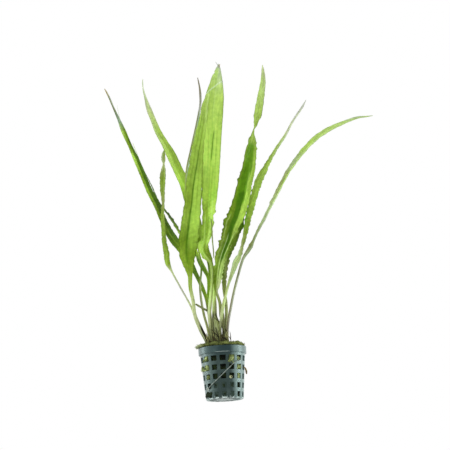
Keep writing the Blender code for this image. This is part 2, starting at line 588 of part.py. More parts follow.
def main():
    for obj in list(bpy.data.objects):
        bpy.data.objects.remove(obj)

    pot_plastic = plastic_like("dark grey polypropylene", (0.035, 0.045, 0.048), 0.4)
    wool_fibre = plastic_like("green mineral wool", (0.12, 0.17, 0.04), 0.95)
    fresh_leaf = plastic_like("fresh leaf", (0.22, 0.45, 0.07), 0.45)
    dry_leaf = plastic_like("dried leaf", (0.20, 0.19, 0.10), 0.8)
    pale_root = plastic_like("pale root", (0.45, 0.47, 0.33), 0.7)
    brown_root = plastic_like("brown root", (0.18, 0.12, 0.07), 0.8)

    build_pot(pot_plastic)
    wool = build_wool(wool_fibre)

    stalks = []
    for name, (blade_from, rows) in LEAVES.items():
        bm = sweep(rows, leaf_thicknesses(blade_from, rows))
        add_object(name, bm, dry_leaf if name == "leaf_dried" else fresh_leaf)
        stalks.append((name, rows))

    stalk_rows = [(x, y, z, diameter, 0, 0) for x, y, z, diameter in DEAD_STALK]
    bm = sweep(stalk_rows, [row[3] for row in stalk_rows], spacing=6.0)
    add_object("dead_stalk", bm, dry_leaf)
    stalks.append(("dead_stalk", stalk_rows))
    cut_sockets(wool, stalks)

    build_root("root_across_front", OUTER_ROOT, pale_root)
    build_root("root_dry_tip", DRY_ROOT, brown_root)
    build_cut_root(pale_root)


main()
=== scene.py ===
"""Looks of a narrow-leaved water trumpet in a 50 mm net pot packed with green mineral wool.

Every solid of the part is shown by a finer piece in its place, and a few pieces that are too
fine for solids go with them. Sizes are in millimetres and become metres where a mesh is made.
-Y is the side that the photograph shows.
"""

import math

import bmesh
import bpy
import numpy as np
from mathutils import Matrix, Vector, noise


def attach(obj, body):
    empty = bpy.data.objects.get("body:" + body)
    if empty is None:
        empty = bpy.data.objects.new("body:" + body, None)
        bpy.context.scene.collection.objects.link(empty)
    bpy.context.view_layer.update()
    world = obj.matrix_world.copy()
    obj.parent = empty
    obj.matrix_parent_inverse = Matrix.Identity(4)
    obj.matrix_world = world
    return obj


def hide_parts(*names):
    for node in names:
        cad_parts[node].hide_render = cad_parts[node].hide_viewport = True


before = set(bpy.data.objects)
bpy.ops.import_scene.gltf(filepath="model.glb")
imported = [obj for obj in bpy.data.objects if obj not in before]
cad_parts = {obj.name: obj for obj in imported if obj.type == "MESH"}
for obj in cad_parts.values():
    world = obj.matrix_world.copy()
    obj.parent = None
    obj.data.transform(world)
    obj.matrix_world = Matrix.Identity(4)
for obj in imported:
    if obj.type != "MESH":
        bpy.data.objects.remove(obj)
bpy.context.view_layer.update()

MM = 0.001

# Sizes of the pot, as in the solids
RIM_RADIUS = 25.0
POT_HEIGHT = 54.0
COLLAR_BOTTOM = 47.1
WALL_TOP_RADIUS = 23.4
WALL_BOTTOM_RADIUS = 19.6
WALL_THICKNESS = 1.2
BASE_THICKNESS = 1.1
COLUMNS = 15
ROWS = 5
WINDOW_HEIGHT = 5.6
WINDOW_PITCH = 9.35
WINDOW_TOP = 44.1
BAR_WIDTH_TOP = 3.1
BAR_WIDTH_BOTTOM = 4.0
DISC_RADIUS = 8.0
SLOT_OUTER_RADIUS = 16.2
SPOKE_WIDTH = 2.0
WINDOW_PARTS = 4             # pieces of arc across a window
BAR_PARTS = 3                # and across a bar
EDGE_ROUNDING = 0.28         # finer than the solids

# Fineness of the leaves
RING_STEP = 1.2
ROUNDED_RINGS = 3            # neighbours over which a change of width is rounded
ACROSS = 26
STALK_THICKNESS = 2.8
LAMINA = 0.30                # thickness of a blade
WARMTH = np.array([1.09, 0.97, 1.0])    # light through a blade turns its full greens a little yellow

# The wool and its loose fibres
WOOL_GRID = 0.75
FIBRES_PER_SQUARE_METRE = 650000.0
FIBRE_CURL = 0.8
FIBRE_THICKNESS = 0.07

# The camera of the photograph: place, angles in degrees and lens
CAMERA_PLACE = (10.0, -2000.0, -218.57)
CAMERA_PITCH = 11.398
CAMERA_ROLL = 3.163
CAMERA_LENS = 154.5

# Each leaf: the row where its blade begins, then rows of (x, y, z, width, turn, fold). Turn and fold are
# in degrees, and 0 where they are left out
LEAVES = {
    "leaf_broad_front": (6, [
        (-15.6, -5, 50, 3.1), (-14.8, -6, 59, 4.5), (-21.3, -8, 74, 4.7), (-26.5, -10, 89, 3.7),
        (-27.5, -12, 103, 3.7), (-29.6, -14.5, 117, 3.8), (-29.3, -17, 129, 4.7, 0, 15),
        (-30.1, -18.5, 138, 9.7, 8, 22), (-31.5, -21, 150, 18.7, 14, 26), (-30.1, -24, 166, 23.5, 20, 26),
        (-26.9, -27.5, 185, 22.4, 22, 26), (-23.3, -30, 205, 19.9, 22, 26),
        (-20.2, -31.5, 224, 18.4, 7, 26), (-16.5, -32, 241, 16.5, -10, 28),
        (-12.5, -31.5, 260, 16.5, -28, 30), (-9, -31, 276, 14.5, -32, 30),
        (-5.5, -30.5, 294, 10.5, -30, 28), (-3, -30, 310, 7.5, -25, 22), (1, -29.5, 322, 0.7, -15, 10)]),
    "leaf_tallest": (6, [
        (-9.5, -6, 49.5, 3), (-9.5, -6.5, 59, 3), (-11, -8, 72.5, 3), (-11.4, -9.5, 88, 3.8),
        (-9.4, -10.5, 103.5, 3.9), (-7, -11, 120.5, 3.2), (-6, -10.5, 133, 3.4, 0, 10),
        (-7.3, -10, 144, 4.3, -15, 18), (-14, -10, 157, 10.6, -22, 20), (-10.9, -9.5, 169, 10.7, -5, 20),
        (-9.3, -9, 180.5, 12.4, 15, 20), (-7.4, -9, 195.5, 13.5, 20, 20), (-5.3, -8.5, 213, 16.7, 12, 18),
        (-3, -7.5, 232.5, 18.5, 6, 18), (-1, -6.5, 254.5, 19.5, 5, 16), (1.5, -5.5, 280.5, 20, 4, 15),
        (3.5, -4.5, 304, 22.2, 2, 15), (6.3, -4, 322.5, 20.5, 0, 15), (8.7, -3, 336, 15.1, 0, 14),
        (10.2, -2.5, 346, 10.6, 0, 12), (11.7, -2, 354, 5.6, 0, 10), (13, -1.5, 361, 0.7, 0, 8)]),
    "leaf_twisted_right": (5, [
        (-1, -3, 49.5, 2.9), (0.5, -3.5, 59, 2.9), (2.5, -4.5, 72.5, 2.9), (1.5, -5, 87, 5.5),
        (0, -7, 101.5, 3), (-2.8, -8.5, 113, 3, 0, 5), (-1, -10, 123.5, 9, -15, 18),
        (1.2, -12, 134.5, 11.5, -18, 22), (5.3, -15, 148.5, 14, -18, 25),
        (12.5, -18.5, 164.5, 15.6, -20, 25), (18, -21, 178.5, 20.7, -20, 25),
        (24.6, -23, 190.5, 21.5, -22, 25), (30.8, -25, 207, 20.4, -24, 25),
        (33.8, -25.5, 222, 17.2, -15, 25), (37.5, -26, 237, 14.8, 5, 25), (39.5, -26.5, 252, 14.5, 30, 22),
        (42, -27, 265.5, 15.9, 55, 15), (44.5, -27, 276.5, 14.3, 80, 10), (47.5, -27, 284.5, 9.3, 112, 8),
        (50, -26.5, 295.5, 11.8, 138, 15), (53, -26, 308.5, 10.3, 142, 15),
        (56, -25.5, 321.5, 8.3, 145, 15), (58.5, -25, 333.5, 5.8, 150, 12), (59, -24.5, 343.5, 3.2, 150, 8),
        (59, -24, 350.5, 0.7, 150, 8)]),
    "leaf_short_right": (5, [
        (2.5, 2, 50, 2.9), (3, 2.5, 59.5, 2.9), (4.5, 3, 73.5, 2.9), (6.4, 4, 89, 3.7), (6.6, 5, 103, 3.1),
        (5.7, 6.5, 112, 3.4, 0, 5), (5.7, 8, 123, 4.2, 10, 15), (6.8, 10, 138.5, 6, 15, 20),
        (10.2, 11.5, 153.5, 7.4, 15, 22), (15.8, 13, 166.5, 9.7, 15, 22), (20.8, 14.5, 179.5, 10.1, 15, 22),
        (26, 15, 194.5, 9.5, 15, 22), (31, 15, 210.5, 7.5, 5, 22), (35.5, 14.5, 226.5, 5, 0, 20),
        (40, 13.5, 243.5, 3, 0, 15), (42.5, 13, 256.5, 0.7, 0, 10)]),
    "leaf_narrow_right": (6, [
        (-2, -7, 49, 2.6), (-1.5, -7.5, 58.5, 2.6), (-1, -8.5, 71, 2.6), (1, -10, 85.5, 3.3),
        (4, -10, 99, 3.3), (7.6, -9.5, 111, 2.4), (10.7, -9, 121, 2.7, 20, 5),
        (15.1, -8.5, 132.5, 4.8, 35, 15), (18.3, -7.5, 142, 8, 38, 20), (22.7, -6.5, 149.5, 6.3, 42, 22),
        (26.3, -5, 160.5, 4.9, 50, 25), (29.7, -3, 173.5, 7.4, 50, 25), (32.9, 0, 188, 9.7, 48, 25),
        (37.5, 4, 203.5, 9.2, 40, 25), (42.5, 8, 219.5, 10.3, 42, 25), (48, 12, 234.5, 10.8, 42, 25),
        (54.5, 15.5, 245.5, 8.8, 46, 22), (60.5, 18.5, 256, 6.3, 52, 20), (69.8, 23, 271, 5, 56, 20),
        (80.3, 27.5, 286, 4.5, 58, 18), (90.1, 33, 303, 3.5, 58, 12), (100.1, 37, 317, 3, 50, 8),
        (105.8, 39.5, 326.5, 0.7, 50, 5)]),
    "leaf_arching_right": (7, [
        (5.5, -1, 49.5, 2.7), (5.6, -1.5, 59, 2.7), (7.1, -3, 76.5, 2.7), (11.2, -5, 95, 2.7),
        (15.5, -7, 111.5, 2.6), (21.6, -10.5, 130.5, 2.6), (26.9, -14.5, 144.5, 2.8, -30, 5),
        (32.9, -16, 153, 5.5, -40, 12), (35.9, -16.5, 157, 7, -42, 15), (38.9, -17.5, 162.5, 4, -45, 15),
        (44.5, -19, 173, 4.5, -48, 16), (50.5, -20.5, 182, 6, -50, 20), (58.4, -23, 196, 5.5, -50, 20),
        (63.5, -24.5, 204.5, 7.5, -50, 20), (74.2, -27.5, 223, 7.5, -50, 20),
        (83.2, -31, 235.8, 8.6, -50, 20), (97.9, -34.5, 252.3, 10.5, -52, 20),
        (111.7, -38, 263.8, 11.8, -52, 20), (125.2, -40.5, 271.5, 10.6, -50, 18),
        (139.7, -42, 277.5, 7.6, -50, 15), (153.7, -43, 282, 5.6, -50, 12),
        (163.2, -44, 282.7, 2.8, -50, 8), (170.2, -44, 283.4, 1.5, -50, 5)]),
    "leaf_arching_left": (7, [
        (-5.5, 0.5, 50.5, 3.4), (-4.5, 0.5, 58.5, 7.5, 0, 8), (-4, 1, 68, 9, 0, 10),
        (-4.5, 2, 79, 8.5, 0, 10), (-6.1, 3, 88.5, 5.3, 0, 5), (-5.6, 5, 101.5, 4.5), (-5.5, 7.5, 117, 3),
        (-7.3, 9, 132.5, 5.1, 0, 5), (-8.6, 11.5, 150, 6, 10, 12), (-15.9, 14, 170.5, 10.6, 12, 16),
        (-21.5, 17.5, 195.5, 11.1, 12, 16), (-26.5, 21, 218, 12.6, 14, 16),
        (-30.5, 23.5, 235.5, 12.1, 15, 16), (-37.5, 26, 253, 10.6, 15, 15),
        (-44.2, 28, 270.5, 10.6, 15, 14), (-50.5, 30, 284.5, 7.6, 12, 14), (-56.8, 31, 297.5, 6.7, 10, 12),
        (-61.2, 32, 310.5, 5.6, 10, 12), (-65.5, 33, 323.5, 5.5, 8, 10), (-68.9, 34, 337.5, 2.2, 0, 8),
        (-71.1, 34.5, 349, 0.8, 0, 4), (-71, 35, 359, 0.7, 0, 2)]),
    "leaf_outer_left": (6, [
        (-10, 6, 51.5, 2.9), (-10, 6.5, 61, 2.9), (-11, 8.5, 76, 2.9), (-12.5, 11, 94.5, 2.9),
        (-14, 12.5, 109, 3.5), (-18, 14.5, 122.5, 4.3), (-23.9, 17, 137.5, 4.5, 0, 5),
        (-35, 19.5, 160.9, 9.1, 0, 22), (-46.6, 21.5, 177.4, 11, 5, 36), (-54.6, 24, 195.4, 9.6, 0, 44),
        (-61, 27, 214, 9.5, -3, 46), (-68.5, 30, 231.5, 9.5, -5, 48), (-75, 33, 250, 9, -5, 50),
        (-81.8, 36.5, 269, 8.7, -5, 50), (-88.1, 39.5, 286, 5.9, -5, 48), (-94.1, 42, 301.5, 7, 0, 45),
        (-99.4, 44.5, 317, 3, 0, 30), (-104.8, 46.5, 331.5, 1.5, 0, 10), (-109.3, 49, 344.5, 1.6),
        (-114, 51, 355, 0.8)]),
    "leaf_edge_on_left": (7, [
        (-8, 10, 51.5, 2.8), (-8, 10.5, 61.5, 2.8), (-9.5, 13, 77.5, 2.8), (-11, 16, 94, 3),
        (-12, 18.5, 107.5, 3.8, 0, 10), (-10.7, 21, 122, 4, 10, 10), (-11.2, 23, 134.5, 3.8, 20, 10),
        (-17.3, 26, 148, 7.4, 40, 15), (-24.6, 29, 164, 9.9, 65, 15), (-38.5, 34, 184.1, 8, 63, 15),
        (-48.8, 38, 203.5, 8, 64, 15), (-60.3, 42, 222.5, 3.9, 69, 15), (-67.3, 46, 241.5, 3.4, 75, 15),
        (-73.9, 49, 257.5, 1.8, 75, 12), (-79.1, 52, 272, 1.4, 75, 10), (-83.1, 54, 284, 1.1, 70, 5),
        (-86, 55, 293, 0.7, 70, 3)]),
    "leaf_low_left": (7, [
        (-15, -1, 50.5, 2.2), (-15, -1.5, 60, 2.2), (-20.5, -3, 72.5, 2.2), (-26.1, -5, 85.5, 2.2),
        (-30.2, -7, 98.7, 2), (-38.9, -11, 116.2, 1.8), (-48.1, -15, 135.2, 2, -20, 5),
        (-51.9, -17, 144.5, 7, -35, 15), (-52, -19.5, 154.5, 7.5, -35, 20),
        (-53.5, -22, 165.5, 6.5, -40, 20), (-53.8, -24.5, 180, 6.5, -45, 18),
        (-53.9, -26, 194.5, 6.5, -55, 15), (-52.7, -27, 207.5, 6, -60, 12), (-52.7, -28, 220, 6.5, -40, 16),
        (-51.8, -28.5, 233.5, 7.5, -30, 18), (-50.8, -29, 243, 5.5, -35, 15),
        (-50.5, -29.5, 247, 1.4, -50, 8), (-50.5, -29.5, 251.5, 4.8, -30, 10),
        (-50.3, -30, 258, 4.3, -30, 8), (-49, -30, 263, 0.7, -30, 5)]),
    "leaf_dried": (9, [
        (-12.5, 3, 51, 2.2), (-12.2, 3, 60.5, 2.7), (-14.2, 3, 76.5, 2.6), (-17.2, 4, 90.5, 2.6),
        (-19.2, 5, 105.5, 2.5), (-19.7, 5.5, 122, 2.4), (-17.5, 4.5, 141, 1.9), (-20, 2.5, 165, 2),
        (-25, 0, 192, 2.2), (-29, -3, 218.5, 2.2, -20, 10), (-27.3, -5.5, 243, 2.8, -30, 15),
        (-21.3, -8, 266.5, 2.6, -30, 15), (-14, -10.5, 293, 2.3, -20, 10), (-9.3, -12, 313.5, 1.7, 0, 5),
        (-8.6, -12.5, 325.5, 2, 0, 10), (-9.1, -13, 334, 1.1, 0, 5), (-10.5, -13.5, 343.5, 0.7)]),
}

# Greens and dry tones of the plant, as sRGB
TONE = {
    "foot": "#50582d", "rot_and_shade": "#1b180a", "stalk": "#878e60", "pale": "#b9c295", "bright": "#cfec9f",
    "plum": "#857a62", "grey_green": "#777f52", "sheath": "#93a263", "olive": "#678a1c", "moss": "#7b9d2f",
    "leaf": "#8bb043", "fresh": "#9ac450", "light": "#abd066", "tip": "#b9d884", "saturated": "#578e06",
    "deep": "#3f7002", "shade": "#48691f", "sea": "#8fa58a", "dry": "#c2cbb2", "ash": "#b3b7ae",
    "straw": "#a99c72", "ghost": "#e6efe0", "frost": "#a5b888",
}

# Tones up each leaf, as height and tone: its left half, its right half and its midrib
# The tones hold the leaves' own greens and painted light and shade on each half of the fold
SHADES = {
    "leaf_broad_front": (
        "50 foot, 66 pale, 103 pale, 117 moss, 150 moss, 166 olive, 185 leaf, 205 moss, 224 leaf, "
        "276 fresh, 310 light, 322 tip",
        "50 foot, 70 stalk, 90 pale, 125 moss, 150 olive, 185 fresh, 260 leaf, 276 fresh, 322 tip",
        "50 stalk, 74 pale, 103 pale, 138 olive, 166 deep, 240 deep, 266 olive, 286 moss, 302 fresh, "
        "310 light"),
    "leaf_tallest": (
        "50 foot, 72 grey_green, 88 pale, 104 bright, 122 light, 157 light, 172 leaf, 196 moss, 213 leaf, "
        "258 light, 322 light, 350 tip, 361 ash",
        "50 foot, 80 stalk, 104 sheath, 120 moss, 157 moss, 168 light, 180 leaf, 196 light, 213 fresh, "
        "254 light, 322 light, 336 tip, 361 ash",
        "50 foot, 88 pale, 104 bright, 133 bright, 150 fresh, 169 leaf, 213 fresh, 280 fresh, 336 tip"),
    "leaf_twisted_right": (
        "50 foot, 87 stalk, 113 moss, 124 olive, 140 leaf, 158 moss, 178 olive, 207 olive, 250 moss, "
        "284 leaf, 300 light, 322 tip, 344 pale",
        "50 foot, 102 stalk, 113 pale, 134 tip, 148 leaf, 164 olive, 178 leaf, 207 fresh, 245 fresh, "
        "268 leaf, 300 light, 334 tip, 344 pale",
        "50 stalk, 113 sheath, 124 olive, 148 deep, 178 deep, 200 leaf, 222 saturated, 255 leaf, "
        "284 light, 322 tip"),
    "leaf_short_right": (
        "50 foot, 89 stalk, 112 sheath, 138 olive, 166 saturated, 182 moss, 196 moss, 212 leaf, "
        "226 olive, 244 leaf, 256 leaf",
        "50 foot, 89 pale, 123 sheath, 140 sheath, 154 moss, 170 moss, 182 olive, 192 saturated, "
        "206 leaf, 226 moss, 256 leaf",
        "50 stalk, 138 olive, 200 leaf"),
    "leaf_narrow_right": (
        "49 foot, 71 foot, 86 pale, 111 sheath, 135 frost, 152 frost, 162 sheath, 174 moss, "
        "190 saturated, 206 olive, 234 leaf, 256 moss, 271 light, 290 pale, 306 ash, 322 ash",
        "49 foot, 80 stalk, 99 bright, 121 frost, 142 frost, 160 sheath, 174 moss, 196 leaf, 220 fresh, "
        "256 light, 271 tip, 290 dry, 306 dry, 322 ash",
        "49 foot, 86 pale, 121 sheath, 160 sheath, 188 moss, 256 leaf, 290 stalk"),
    "leaf_arching_right": (
        "50 foot, 62 plum, 95 plum, 112 grey_green, 140 stalk, 157 sheath, 182 frost, 223 sheath, "
        "240 frost, 256 light, 278 tip, 284 dry",
        "50 foot, 62 plum, 84 ash, 112 dry, 130 dry, 157 frost, 182 dry, 223 tip, 282 tip",
        "50 plum, 112 grey_green, 157 stalk, 200 frost, 225 leaf, 240 frost, 264 tip"),
    "leaf_arching_left": (
        "50 foot, 64 stalk, 76 pale, 90 sheath, 104 bright, 120 tip, 133 olive, 196 olive, 218 moss, "
        "240 fresh, 262 light, 300 tip, 324 pale, 349 dry",
        "50 foot, 62 stalk, 76 sheath, 102 stalk, 120 light, 133 olive, 170 leaf, 218 olive, 240 leaf, "
        "272 leaf, 298 light, 324 pale, 349 dry",
        "50 foot, 60 stalk, 72 pale, 86 pale, 102 sheath, 133 bright, 150 leaf, 218 moss, 250 fresh, "
        "298 light, 324 tip"),
    "leaf_outer_left": (
        "52 foot, 80 grey_green, 96 stalk, 109 olive, 138 shade, 161 moss, 178 shade, 197 moss, 232 leaf, "
        "250 moss, 272 light, 286 moss, 302 light, 317 sea, 328 grey_green, 343 grey_green, 350 straw",
        "52 foot, 96 stalk, 109 moss, 138 shade, 161 olive, 178 shade, 286 shade, 302 olive, 317 sea, "
        "328 grey_green, 343 ash, 350 straw",
        "52 foot, 109 moss, 138 shade, 161 moss, 214 shade, 250 deep, 286 olive, 302 leaf, 317 sea"),
    "leaf_edge_on_left": (
        "52 foot, 94 pale, 108 moss, 122 moss, 148 shade, 164 olive, 184 moss, 204 shade, 258 shade, "
        "272 sea, 293 pale",
        "52 foot, 94 stalk, 108 fresh, 122 moss, 148 olive, 164 moss, 204 shade, 258 shade, 272 sea, "
        "293 pale",
        "52 foot, 94 sheath, 108 olive, 148 shade, 184 moss, 210 shade, 280 sea"),
    "leaf_low_left": (
        "50 foot, 66 pale, 99 pale, 116 ash, 135 pale, 144 leaf, 180 leaf, 194 moss, 208 sheath, "
        "222 leaf, 234 moss, 247 pale, 258 frost",
        "50 foot, 72 stalk, 99 pale, 116 stalk, 135 pale, 144 moss, 166 olive, 180 moss, 208 sheath, "
        "222 leaf, 234 leaf, 247 pale, 258 moss",
        "50 stalk, 116 ash, 144 leaf, 166 moss, 208 moss, 234 moss"),
    "leaf_dried": (
        "51 foot, 76 stalk, 106 grey_green, 141 shade, 165 sheath, 192 moss, 240 sheath, 252 grey_green, "
        "300 grey_green, 310 ash, 326 plum, 344 plum",
        "51 foot, 90 stalk, 106 pale, 141 shade, 192 moss, 240 sea, 300 sea, 310 ash, 326 grey_green, "
        "344 plum",
        "51 stalk, 141 shade, 192 moss, 300 grey_green, 326 ash"),
}

# Painted light and shade, and the dried leaf's darker tip: how much lighter or darker each leaf is at these
# heights
PAINTED_LIGHTNESS = {
    "leaf_broad_front": (
        "88 1, 117 1.2, 150 1.3, 185 1.2, 224 1.15, 241 1, 276 0.95, 294 0.88, 310 0.8, 322 0.9"),
    "leaf_tallest": (
        "60 1.1, 80 1.3, 104 1, 122 0.78, 146 0.85, 157 1.35, 213 1.38, 232 1.22, 254 1.24, 280 1.15, "
        "304 1, 336 0.88, 354 0.95"),
    "leaf_twisted_right": (
        "134 1, 164 0.9, 190 1.15, 207 1.1, 230 0.95, 252 1.05, 266 1, 278 0.8, 296 0.75, 334 0.76, "
        "350 0.9"),
    "leaf_short_right": "75 1.3, 100 1, 140 0.8, 200 0.8, 256 0.85",
    "leaf_narrow_right": (
        "90 1, 111 1.1, 134 1.25, 146 1.35, 160 1.05, 204 1.08, 234 0.85, 256 0.9, 271 0.76, 286 1, "
        "317 1.1"),
    "leaf_arching_right": "112 1, 130 0.75, 173 0.85, 198 1.05, 223 0.92, 252 0.86, 272 0.8",
    "leaf_arching_left": (
        "64 1, 72 1.35, 84 1.45, 90 1, 117 1.15, 150 0.85, 170 1, 196 0.85, 218 1.1, 236 1.25, 256 1, "
        "298 0.85, 324 0.95"),
    "leaf_outer_left": (
        "96 0.95, 122 1.35, 161 1.3, 178 1.3, 196 0.9, 214 1, 232 1.3, 269 1.35, 290 1.2, 304 0.95"),
    "leaf_edge_on_left": "94 1.15, 134 1.4, 184 1.4, 204 0.8, 222 1.2, 284 1.3",
    "leaf_low_left": "99 1.1, 144 1.05, 166 0.85, 194 0.9, 220 0.8, 252 0.85",
    "leaf_dried": "76 1.5, 106 1, 122 1.4, 165 1.7, 192 0.8, 218 1.4, 243 1, 293 1.1, 316 0.8",
}

# Waves of each blade: (depth of the waves at the margin, wave length, raggedness of the margin)
WAVES = {
    "leaf_broad_front": (1.0, 15.0, 0.25), "leaf_tallest": (0.7, 17.0, 0.15),
    "leaf_twisted_right": (0.9, 12.0, 0.25), "leaf_short_right": (0.8, 10.0, 0.35),
    "leaf_narrow_right": (0.6, 11.0, 0.4), "leaf_arching_right": (0.3, 16.0, 0.25),
    "leaf_arching_left": (0.35, 20.0, 0.12), "leaf_outer_left": (0.7, 9.0, 0.3),
    "leaf_edge_on_left": (0.6, 9.0, 0.3), "leaf_low_left": (0.5, 8.0, 0.4), "leaf_dried": (0.4, 7.0, 0.25),
}
# The lower part of these blades is crimped more: (from height, to height, extra depth)
CRIMPED = {
    "leaf_tallest": (138, 212, 1.7), "leaf_broad_front": (136, 190, 0.8),
    "leaf_twisted_right": (114, 190, 1.3), "leaf_short_right": (120, 175, 1.1),
}
# Knobs and notches on a margin: (height, side, reach, length up the leaf)
NICKS = {
    "leaf_twisted_right": [
        (224.7, -1, 1.3, 2.4), (160.5, -1, 1.5, 3.0), (186.0, -1, 0.9, 2.5), (232.5, -1, 1.0, 2.0),
        (143.0, 1, 0.9, 2.6), (135.0, 1, -0.9, 2.4), (128.0, 1, 0.8, 2.4), (151.0, 1, -0.8, 2.4),
        (147.0, -1, 0.6, 2.2), (139.0, -1, -0.6, 2.2)],
    "leaf_tallest": [
        (350.0, -1, -1.2, 2.0), (151.0, 1, 0.8, 2.6), (163.0, 1, -0.6, 2.4)],
    "leaf_short_right": [
        (187.0, 1, 2.0, 8.0), (146.0, 1, 0.7, 2.6), (160.0, 1, -0.7, 2.6)],
    "leaf_narrow_right": [
        (204.0, 1, 0.9, 3.5), (147.0, -1, 0.8, 2.5)],
    "leaf_arching_right": [
        (200.0, -1, 0.8, 2.2)],
    "leaf_broad_front": [
        (168.0, 1, -0.9, 3.0), (181.0, 1, 0.8, 3.0)],
    "leaf_outer_left": [
        (270.0, 1, 0.8, 4.0)],
}
# Dark and pale lines: (tone, [(share across, height)], width, strength)
# The dark lines at the stalks' feet are rot and also painted shade in the crown
LINES = {
    "leaf_tallest": [
        ("deep", [(0.16, 288), (0.08, 270), (0.02, 252)], 1.1, 0.9),
        ("olive", [(-0.78, 246), (-0.93, 216)], 1.3, 0.7),
        ("tip", [(-0.5, 196), (-0.3, 170), (-0.3, 140)], 1.2, 0.6),
        ("tip", [(0.5, 215), (0.55, 190), (0.5, 160)], 1.4, 0.6),
        ("olive", [(0.1, 196), (0.15, 170), (0.2, 146)], 1.0, 0.6),
        ("moss", [(-0.5, 320), (-0.45, 290), (-0.3, 250)], 0.9, 0.5),
        ("moss", [(0.55, 310), (0.5, 270), (0.5, 230)], 0.9, 0.45),
        ("moss", [(0.25, 250), (0.2, 225), (0.15, 200)], 1.0, 0.6),
        ("ghost", [(0.98, 342), (0.1, 338), (-0.45, 333), (-0.75, 329), (-1, 325)], 1.1, 0.85),
        ("rot_and_shade", [(0.9, 92), (0.9, 60)], 0.9, 0.7)],
    "leaf_broad_front": [
        ("olive", [(-0.5, 300), (-0.5, 250), (-0.45, 200)], 0.9, 0.4),
        ("olive", [(0.5, 260), (0.5, 220), (0.55, 180)], 1.0, 0.4),
        ("olive", [(0.97, 262), (0.97, 210), (0.97, 150)], 1.1, 0.7),
        ("deep", [(-0.1, 200), (-0.12, 170), (-0.06, 140)], 1.8, 0.6),
        ("rot_and_shade", [(0.8, 80), (0.4, 66), (0.2, 56)], 2.8, 0.95),
        ("rot_and_shade", [(-0.75, 74), (-0.7, 58)], 0.8, 0.5)],
    # painted shade: the dark saturated band is the half of the fold lit from behind
    "leaf_twisted_right": [
        ("saturated", [(-0.1, 268), (-0.1, 245), (-0.22, 222), (-0.34, 198)], 9.5, 0.85),
        ("deep", [(-0.3, 216), (-0.25, 198), (-0.08, 182), (0.0, 165), (0.05, 142)], 5.6, 0.9),
        ("light", [(0.32, 236), (0.34, 200), (0.42, 176), (0.48, 150)], 1.6, 0.6),
        ("bright", [(0.7, 176), (0.5, 164), (0.38, 152), (0.3, 140)], 0.8, 0.8),
        ("tip", [(-0.72, 190), (-0.66, 170), (-0.6, 145)], 0.9, 0.6),
        ("bright", [(-0.2, 172), (-0.2, 150), (-0.1, 118)], 0.8, 0.75),
        ("deep", [(-0.55, 165), (-0.5, 145), (-0.5, 125)], 0.9, 0.7),
        ("deep", [(0.75, 170), (0.7, 150), (0.6, 125)], 1.2, 0.6),
        ("moss", [(0.75, 245), (0.7, 215), (0.72, 190)], 1.4, 0.7),
        ("rot_and_shade", [(-0.7, 94), (-0.5, 60)], 0.8, 0.7)],
    "leaf_short_right": [
        ("tip", [(0.1, 180), (0.1, 160), (0.1, 130)], 0.8, 0.6),
        ("shade", [(0.75, 196), (0.75, 160), (0.7, 145)], 2.0, 0.5),
        ("rot_and_shade", [(-0.4, 90), (-0.2, 60)], 0.9, 0.6)],
    "leaf_arching_left": [
        ("moss", [(0.1, 300), (0.0, 240), (0.0, 190)], 1.0, 0.5),
        ("rot_and_shade", [(-0.5, 94), (-0.85, 84), (-0.9, 62)], 2.0, 0.95),
        ("rot_and_shade", [(0.3, 94), (0.8, 84), (0.9, 62)], 1.8, 0.9),
        ("rot_and_shade", [(-0.3, 76), (0.1, 68), (0.5, 60)], 1.8, 0.85)],
    "leaf_narrow_right": [
        ("rot_and_shade", [(0.7, 84), (0.6, 60)], 0.8, 0.6)],
}
# Dry strands on the leaves: (tone, places, radii)
STRANDS = {
    "leaf_tallest": [
        ("sheath", [(-4.4, -10, 190), (-3.9, -10.6, 182), (-4.0, -10.7, 167), (-3.6, -10.6, 155.5),
         (-3.6, -10, 148)], [0.4, 0.65, 0.7, 0.7, 0.5]),
        ("ash", [(12.6, -1.8, 356.5), (11.6, -2, 359.5), (10.6, -2.1, 361.2), (9.4, -2.2, 363.4)],
         [0.5, 0.45, 0.35, 0.15]),
        ("straw", [(12.8, -1.6, 356.5), (13.4, -1.7, 358.5), (14.1, -1.8, 360.5)], [0.5, 0.5, 0.2])],
    "leaf_outer_left": [
        ("dry", [(-98.0, 44.2, 314), (-98.8, 44, 321), (-100, 44, 328), (-100.7, 44, 334)],
         [0.3, 0.22, 0.2, 0.1])],
}

# The dead stalk, as rows of (x, y, z, thickness)
DEAD_STALK = [
    (-12.5, -1.5, 50.5, 1.3), (-12, -2, 60, 1.3), (-11.5, -4, 78, 1.3), (-11.5, -5.5, 88.6, 1.6),
    (-13, -6.5, 92.8, 2.2), (-18, -8, 95.8, 2.2), (-23, -9.3, 99, 2.2), (-25.2, -9.7, 100.5, 1.4)]

# Roots on the pot's wall: (degrees, height, stand-off)
ROOT_RADIUS = 0.5
OUTER_ROOT = [
    (54, 40.6, -0.6), (52, 38.8, 0.4), (46, 38.2, 0.5), (40, 37.8, 0.5), (32, 36.2, 0.5), (25, 34, 0.5),
    (17, 31, 0.5), (10, 28.6, 0.5), (3, 26, 0.5), (-4, 23.6, 0.5), (-12, 21, 0.5), (-20, 18.5, 0.5),
    (-29, 16.1, 0.5), (-39, 13.5, 0.5), (-45, 12.2, 0.4), (-50, 11.4, 0.4)]
DRY_ROOT = [(72, 32.2, -0.6), (76, 31.4, 0.5), (80, 29.9, 1.1), (84, 27.8, 1.5), (87, 25.4, 1.9)]
# Fine threads where the outer root ends: (degrees, height)
ROOT_THREADS = [
    [(-50.5, 11.3), (-54, 10.4), (-57, 9.0), (-60, 8.2)],
    [(-51, 11.6), (-55, 12.0), (-59, 11.2), (-63, 9.6)],
    [(-50.5, 11.0), (-52, 9.4), (-51, 8.0)],
]
# The cut root: degrees, height, radius and the radius of its bore
CUT_ROOT_ANGLE = 20.2
CUT_ROOT_HEIGHT = 21.0
CUT_ROOT_RADIUS = 1.4
CUT_ROOT_BORE = 1.0

